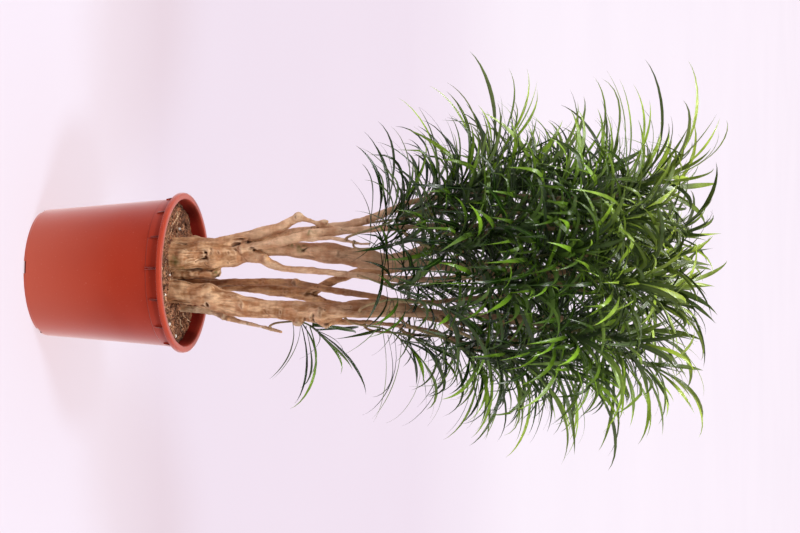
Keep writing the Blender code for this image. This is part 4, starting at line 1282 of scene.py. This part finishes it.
def fullness_of(tip):
    """The share of its leaves that a shoot keeps: fewer at the plant's sides, low down and at the top."""
    inner = clamped(1.12 - 2.8 * abs(tip[0] + 0.035), 0.28, 0.96)
    fullness = (0.50 + 0.50 * clamped((tip[2] - 0.80) / 0.30)) * inner
    return fullness * (1 - 0.38 * clamped((tip[2] - 1.20) / 0.15))


def more_leaves(cane, leafy, blade_length, low_corner, high_corner):
    """Leaves in a spiral along the leafy end of a young cane, the lowest and oldest first."""
    count = round((leafy - LEAFLESS) / LEAF_SPACING * fullness_of(cane[-1]))
    start = leaf_draw.uniform(0, math.tau)
    total = np.linalg.norm(np.diff(cane, axis=0), axis=1).sum()
    found = []
    for i in range(count):
        youth = i / max(count - 1, 1)
        at = (1 - (leafy / total) * (1 - youth) * 0.96) * LINE_STEPS
        low = min(int(at), LINE_STEPS - 1)
        spot = cane[low] + (cane[low + 1] - cane[low]) * (at - low)
        stem_way = Vector(cane[low + 1] - cane[max(low - 1, 0)]).normalized()
        side = stem_way.orthogonal().normalized()
        for _ in range(LEAF_TRIES):
            side.rotate(Matrix.Rotation(start + GOLDEN * i + leaf_draw.uniform(-0.2, 0.2), 3, stem_way))
            line = drawn_line(spot, stem_way, side, youth, blade_length)
            if stays_clear(line, low_corner, high_corner):
                found.append(finished_leaf(line, youth))
                break
    return found


# %% [markdown]
# Leaves are glossy and dark green. What makes them look like leaves is small: a paler line along the
# midrib, fine veins that run the leaf's whole length, a duller and paler underside, painted shade on the
# base deep inside the tuft, and a dry tip on some. All of it reads the four marks, so it follows every leaf
# wherever it bends. High on the plant and at its sides the brightest leaves are yellower, painted light
# where the light comes through.


# %% The finishes of the foliage
def make_leaf():
    """The leaves' green, from the tone, the way along, the way across and the side of each point."""
    made, tree, shader = new_material("green_leaf", roughness=0.4, specular_ior_level=0.5)
    place = object_place(tree)
    tone, along, across, under = marks_of(tree)
    blotch = patches(tree, place, 30.0, 0.3, 0.7)
    # Yellower brightest leaves high up and at the sides: painted light.
    outer = fit(tree, reckon(tree, "ABSOLUTE", axis_of(tree, place, "X")), 0.0, 0.9, 0.16, 0.36)
    high = fit(tree, axis_of(tree, place, "Z"), 0.0, 1.0, 1.16, 1.36)
    bright = mix(tree, reckon(tree, "MAXIMUM", high, outer), (0.270, 0.520, 0.030), (0.440, 0.580, 0.052))
    colour = mix(tree, tone, (0.0026, 0.0130, 0.0012), bright)
    deeper = mix(tree, 0.5, colour, (0.0030, 0.0120, 0.0010))
    colour = mix(tree, blotch, deeper, colour)
    midrib = fit(tree, stripe(tree, across, 0.5, 0.10), 0.0, 0.30)
    colour = mix(tree, midrib, colour, (0.16, 0.34, 0.05))
    # Darker towards the leaf's base: painted shade inside the tuft.
    colour = mix(tree, fit(tree, along, 0.70, 0.0, 0.05, 0.60), colour, (0.0030, 0.0130, 0.0012))
    tip, old = fit(tree, along, 0.0, 1.0, 0.955, 0.99), fit(tree, blotch, 0.0, 1.0, 0.5, 0.9)
    colour = mix(tree, reckon(tree, "MULTIPLY", tip, old), colour, (0.30, 0.22, 0.08))
    below = reckon(tree, "GREATER_THAN", under, 0.5)
    colour = mix(tree, fit(tree, below, 0.0, 0.35), colour, (0.060, 0.120, 0.030))
    tree.links.new(colour, shader.inputs["Base Color"])
    tree.links.new(fit(tree, below, 0.20, 0.50), shader.inputs["Roughness"])
    veins = reckon(tree, "SINE", reckon(tree, "MULTIPLY", across, 75.0))
    bump = add(tree, "Bump", {"Height": veins, "Strength": 0.25, "Distance": 0.0002})
    tree.links.new(bump.outputs["Normal"], shader.inputs["Normal"])
    return made


def make_young_bark():
    """Tan at the young cane's foot and green higher up, with rings of leaf scars."""
    made, tree, shader = new_material("young_cane_bark", roughness=0.7, specular_ior_level=0.35)
    place = object_place(tree)
    along = marks_of(tree)[1]
    blotch = patches(tree, place, 90.0, 0.35, 0.65)
    colour = mix(tree, blotch, (0.30, 0.19, 0.085), (0.46, 0.31, 0.15))
    colour = mix(tree, fit(tree, along, 0.0, 1.0, 0.15, 0.75), colour, (0.12, 0.17, 0.045))
    scars = reckon(tree, "SINE", reckon(tree, "MULTIPLY", along, 260.0))
    colour = mix(tree, fit(tree, scars, 0.0, 0.5, 0.75, 1.0), colour, (0.10, 0.06, 0.03))
    tree.links.new(colour, shader.inputs["Base Color"])
    bump = add(tree, "Bump", {"Height": scars, "Strength": 0.5, "Distance": 0.0005})
    tree.links.new(bump.outputs["Normal"], shader.inputs["Normal"])
    return made


LEAF, YOUNG_BARK = make_leaf(), make_young_bark()
print(LEAF.name, "and", YOUNG_BARK.name)

# %% [markdown]
# Now each shoot is built: its young cane, sunk a little into the wood it grows from, one leaf for each
# packed blade, and the spiral of further leaves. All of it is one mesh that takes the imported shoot's place.
# Leaves on blades that hang low are narrower. One packed blade stands out alone at the far left, and gets
# no leaf.

# %% Build every shoot
SEAT_SINK, WHORL_SHARE = 0.005, 0.64
PAST_SHOOT = np.array((0.030, 0.030, 0.010))
LONE_LEFT, LONE_HEIGHT = -0.45, 1.0
LOW_TIP, LOW_SLIM = 0.92, 0.62
SPROUT_HALF, SPROUT_YOUTH = 0.16, 0.4
LONG_SHOOT = 0.17


def build_shoot(name, core, blades):
    """One dressed shoot on its packed core and blades, which it replaces; gives the number of its leaves."""
    seat_way = (core[1] - core[0]) / np.linalg.norm(core[1] - core[0])
    cane = resampled([core[0] - seat_way * SEAT_SINK, *core])
    leafy = np.linalg.norm(core[4] - core[8]) / WHORL_SHARE
    lengths = [sum(np.linalg.norm(b - a) for a, b in zip(blade, blade[1:])) for blade in blades]
    cane_marks = even_marks(CANE_MODEL, 0.0)
    cane_marks[:, 1] = CANE_MODEL.points[:, 2]
    radius = CANE_RADIUS * clamped(leafy / LONG_SHOOT, 0.5)
    copies = [(CANE_MODEL, lay_along(CANE_MODEL, cane, radius, radius), cane_marks, 1)]
    for blade in blades:
        across, _, height = blade[-1]
        if across < LONE_LEFT and height > LONE_HEIGHT:
            continue
        low = height < LOW_TIP
        youth = SPROUT_YOUTH if low and abs(across) < SPROUT_HALF else leaf_draw.uniform(0.2, 0.8)
        copies.append(finished_leaf(line_through(blade, BLADE_SHARES), youth, LOW_SLIM if low else 1.0))
    low_corner, high_corner = np.array(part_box(name)[0]) - PAST_SHOOT, np.array(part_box(name)[1]) + PAST_SHOOT
    copies += more_leaves(cane, leafy, max(lengths), low_corner, high_corner)
    piece = pour(name.replace("leafy_shoot", "dressed_shoot"), copies, [LEAF, YOUNG_BARK])
    piece.data.set_sharp_from_angle(angle=math.radians(60))
    hand_over(piece, "leaf", name)
    return len(copies) - 1


leaf_count = sum(build_shoot(name, core, blades) for name, (core, blades) in shoots.items())
print(leaf_count, "leaves")

# %% [markdown]
# The stage is a very wide pale floor that runs out of sight, so that there is no horizon. It gives a little
# light of its own, which keeps it pale and even all the way back.


# %% The floor
def make_floor():
    """A pale matt floor whose tone changes slowly towards the back, and which is unlit under the pot."""
    made, tree, shader = new_material("pale_floor", roughness=0.9, specular_ior_level=0.0)
    shader.inputs["Emission Color"].default_value = (0.678, 0.490, 0.483, 1)
    place = object_place(tree)
    back = axis_of(tree, place, "Y")
    away = add(tree, "VectorMath", {0: place}, operation="LENGTH").outputs["Value"]
    tree.links.new(fit(tree, away, 0.0, 1.0, BASE - 0.014, BASE - 0.004), shader.inputs["Emission Strength"])
    cloud = patches(tree, place, 0.5, 0.2, 0.8)
    near = mix(tree, fit(tree, back, 0.0, 1.0, 0.35, 0.75), (0.182, 0.240, 0.309), (0.122, 0.169, 0.238))
    bright = mix(tree, fit(tree, back, 0.0, 1.0, 3.6, 6.2), near, (0.179, 0.244, 0.300))
    far = mix(tree, fit(tree, back, 0.0, 1.0, 12.0, 35.0), bright, (0.168, 0.231, 0.287))
    tree.links.new(mix(tree, fit(tree, cloud, 0.0, 0.02), far, (1, 1, 1)), shader.inputs["Base Color"])
    return made


bpy.ops.object.select_all(action="DESELECT")
bpy.ops.mesh.primitive_plane_add(size=120, location=(0, 0, 0))
floor = bpy.context.object
floor.name = "studio_floor"
floor.data.materials.append(make_floor())
floor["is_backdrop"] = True
print(floor.name, "is the stage")

# %% [markdown]
# The light is soft and comes from all round, but little of it from the front, where the room is darker. The
# world gives it, and shows the camera one flat pale tint. Two weak suns at the front's left and right cast
# the two faint shadows, and a broad one from nearly overhead lights the top of the foliage. A fourth only
# shows as gloss, as a softbox does on leaves.


# %% The world
def make_world():
    """A pale room that is dark in front, with a flat tint where the camera looks straight at it."""
    made = bpy.data.worlds.new("pale_studio")
    made.use_nodes = True
    tree = made.node_tree
    way = add(tree, "TexCoord").outputs["Generated"]
    front = axis_of(tree, way, "Y")
    share = fit(tree, front, 0.0, 1.0, -0.85, -0.40)
    room = mix(tree, share, (0.06, 0.05, 0.06), (0.80, 0.75, 0.82))
    behind = fit(tree, front, 0.0, 1.0, -0.10, 0.45)
    low = fit(tree, axis_of(tree, way, "Z"), 1.0, 0.0, 0.20, 0.70)
    room = mix(tree, reckon(tree, "MULTIPLY", behind, low), room, (1.90, 1.78, 1.90))
    gloss = add(tree, "LightPath").outputs["Is Glossy Ray"]
    room = mix(tree, fit(tree, gloss, 0.0, 0.45), room, (0, 0, 0))
    seen = add(tree, "LightPath").outputs["Is Camera Ray"]
    shader = tree.nodes["Background"]
    tree.links.new(mix(tree, seen, room, (0.97, 0.88, 0.96)), shader.inputs["Color"])
    tree.links.new(fit(tree, seen, 0.60, 1.0), shader.inputs["Strength"])
    return made


bpy.context.scene.world = make_world()
print(bpy.context.scene.world.name)


# %% The suns
def add_sun(name, spot, power, spread, gloss_only=False):
    """A sun that shines from the side where the spot lies; its spread is in radians."""
    lamp = bpy.data.lights.new(name, "SUN")
    lamp.energy, lamp.angle = power, spread
    made = bpy.data.objects.new(name, lamp)
    made.location = spot
    made.visible_diffuse = not gloss_only
    made.rotation_euler = (-Vector(spot)).to_track_quat("-Z", "Y").to_euler()
    bpy.context.scene.collection.objects.link(made)


add_sun("left_sun", (-3.9, -4.0, 6.9), power=1.70, spread=0.22)
add_sun("right_sun", (3.9, -4.0, 6.9), power=1.68, spread=0.22)
add_sun("top_sun", (-0.5, -1.0, 9.0), power=1.0, spread=0.9)
add_sun("soft_gloss", (-1.5, -4.0, 5.5), power=3.0, spread=0.45, gloss_only=True)

# %% [markdown]
# The camera stands in front of the plant, a little above it, and looks down by about 13 degrees. It is
# turned on its side, so the plant's top lies at the right of the picture.

# %% Camera
CAMERA_PLACE = (-0.0132, -4.561, 1.804)
CAMERA_PITCH = math.radians(12.67)
LENS, FILM = 101.25, 36
camera_data = bpy.data.cameras.new("side_turned_camera")
camera_data.lens, camera_data.sensor_width = LENS, FILM
camera_data.clip_end = 200
camera = bpy.data.objects.new("side_turned_camera", camera_data)
sin_pitch, cos_pitch = math.sin(CAMERA_PITCH), math.cos(CAMERA_PITCH)
axes = Matrix(((0, -1, 0), (sin_pitch, 0, -cos_pitch), (cos_pitch, 0, sin_pitch)))
camera.matrix_world = Matrix.Translation(CAMERA_PLACE) @ axes.to_4x4()
bpy.context.scene.collection.objects.link(camera)
bpy.context.scene.camera = camera
bpy.context.scene.view_settings.view_transform = "Standard"
print("camera at", *CAMERA_PLACE)

# %% Compare the sizes, and finish
dressed_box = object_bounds()
for axis, low, high, *dressed in zip("XYZ", *solids_box, *dressed_box):
    print(axis, "solids", round(low, 3), round(high, 3), "dressed", *(round(end, 3) for end in dressed))
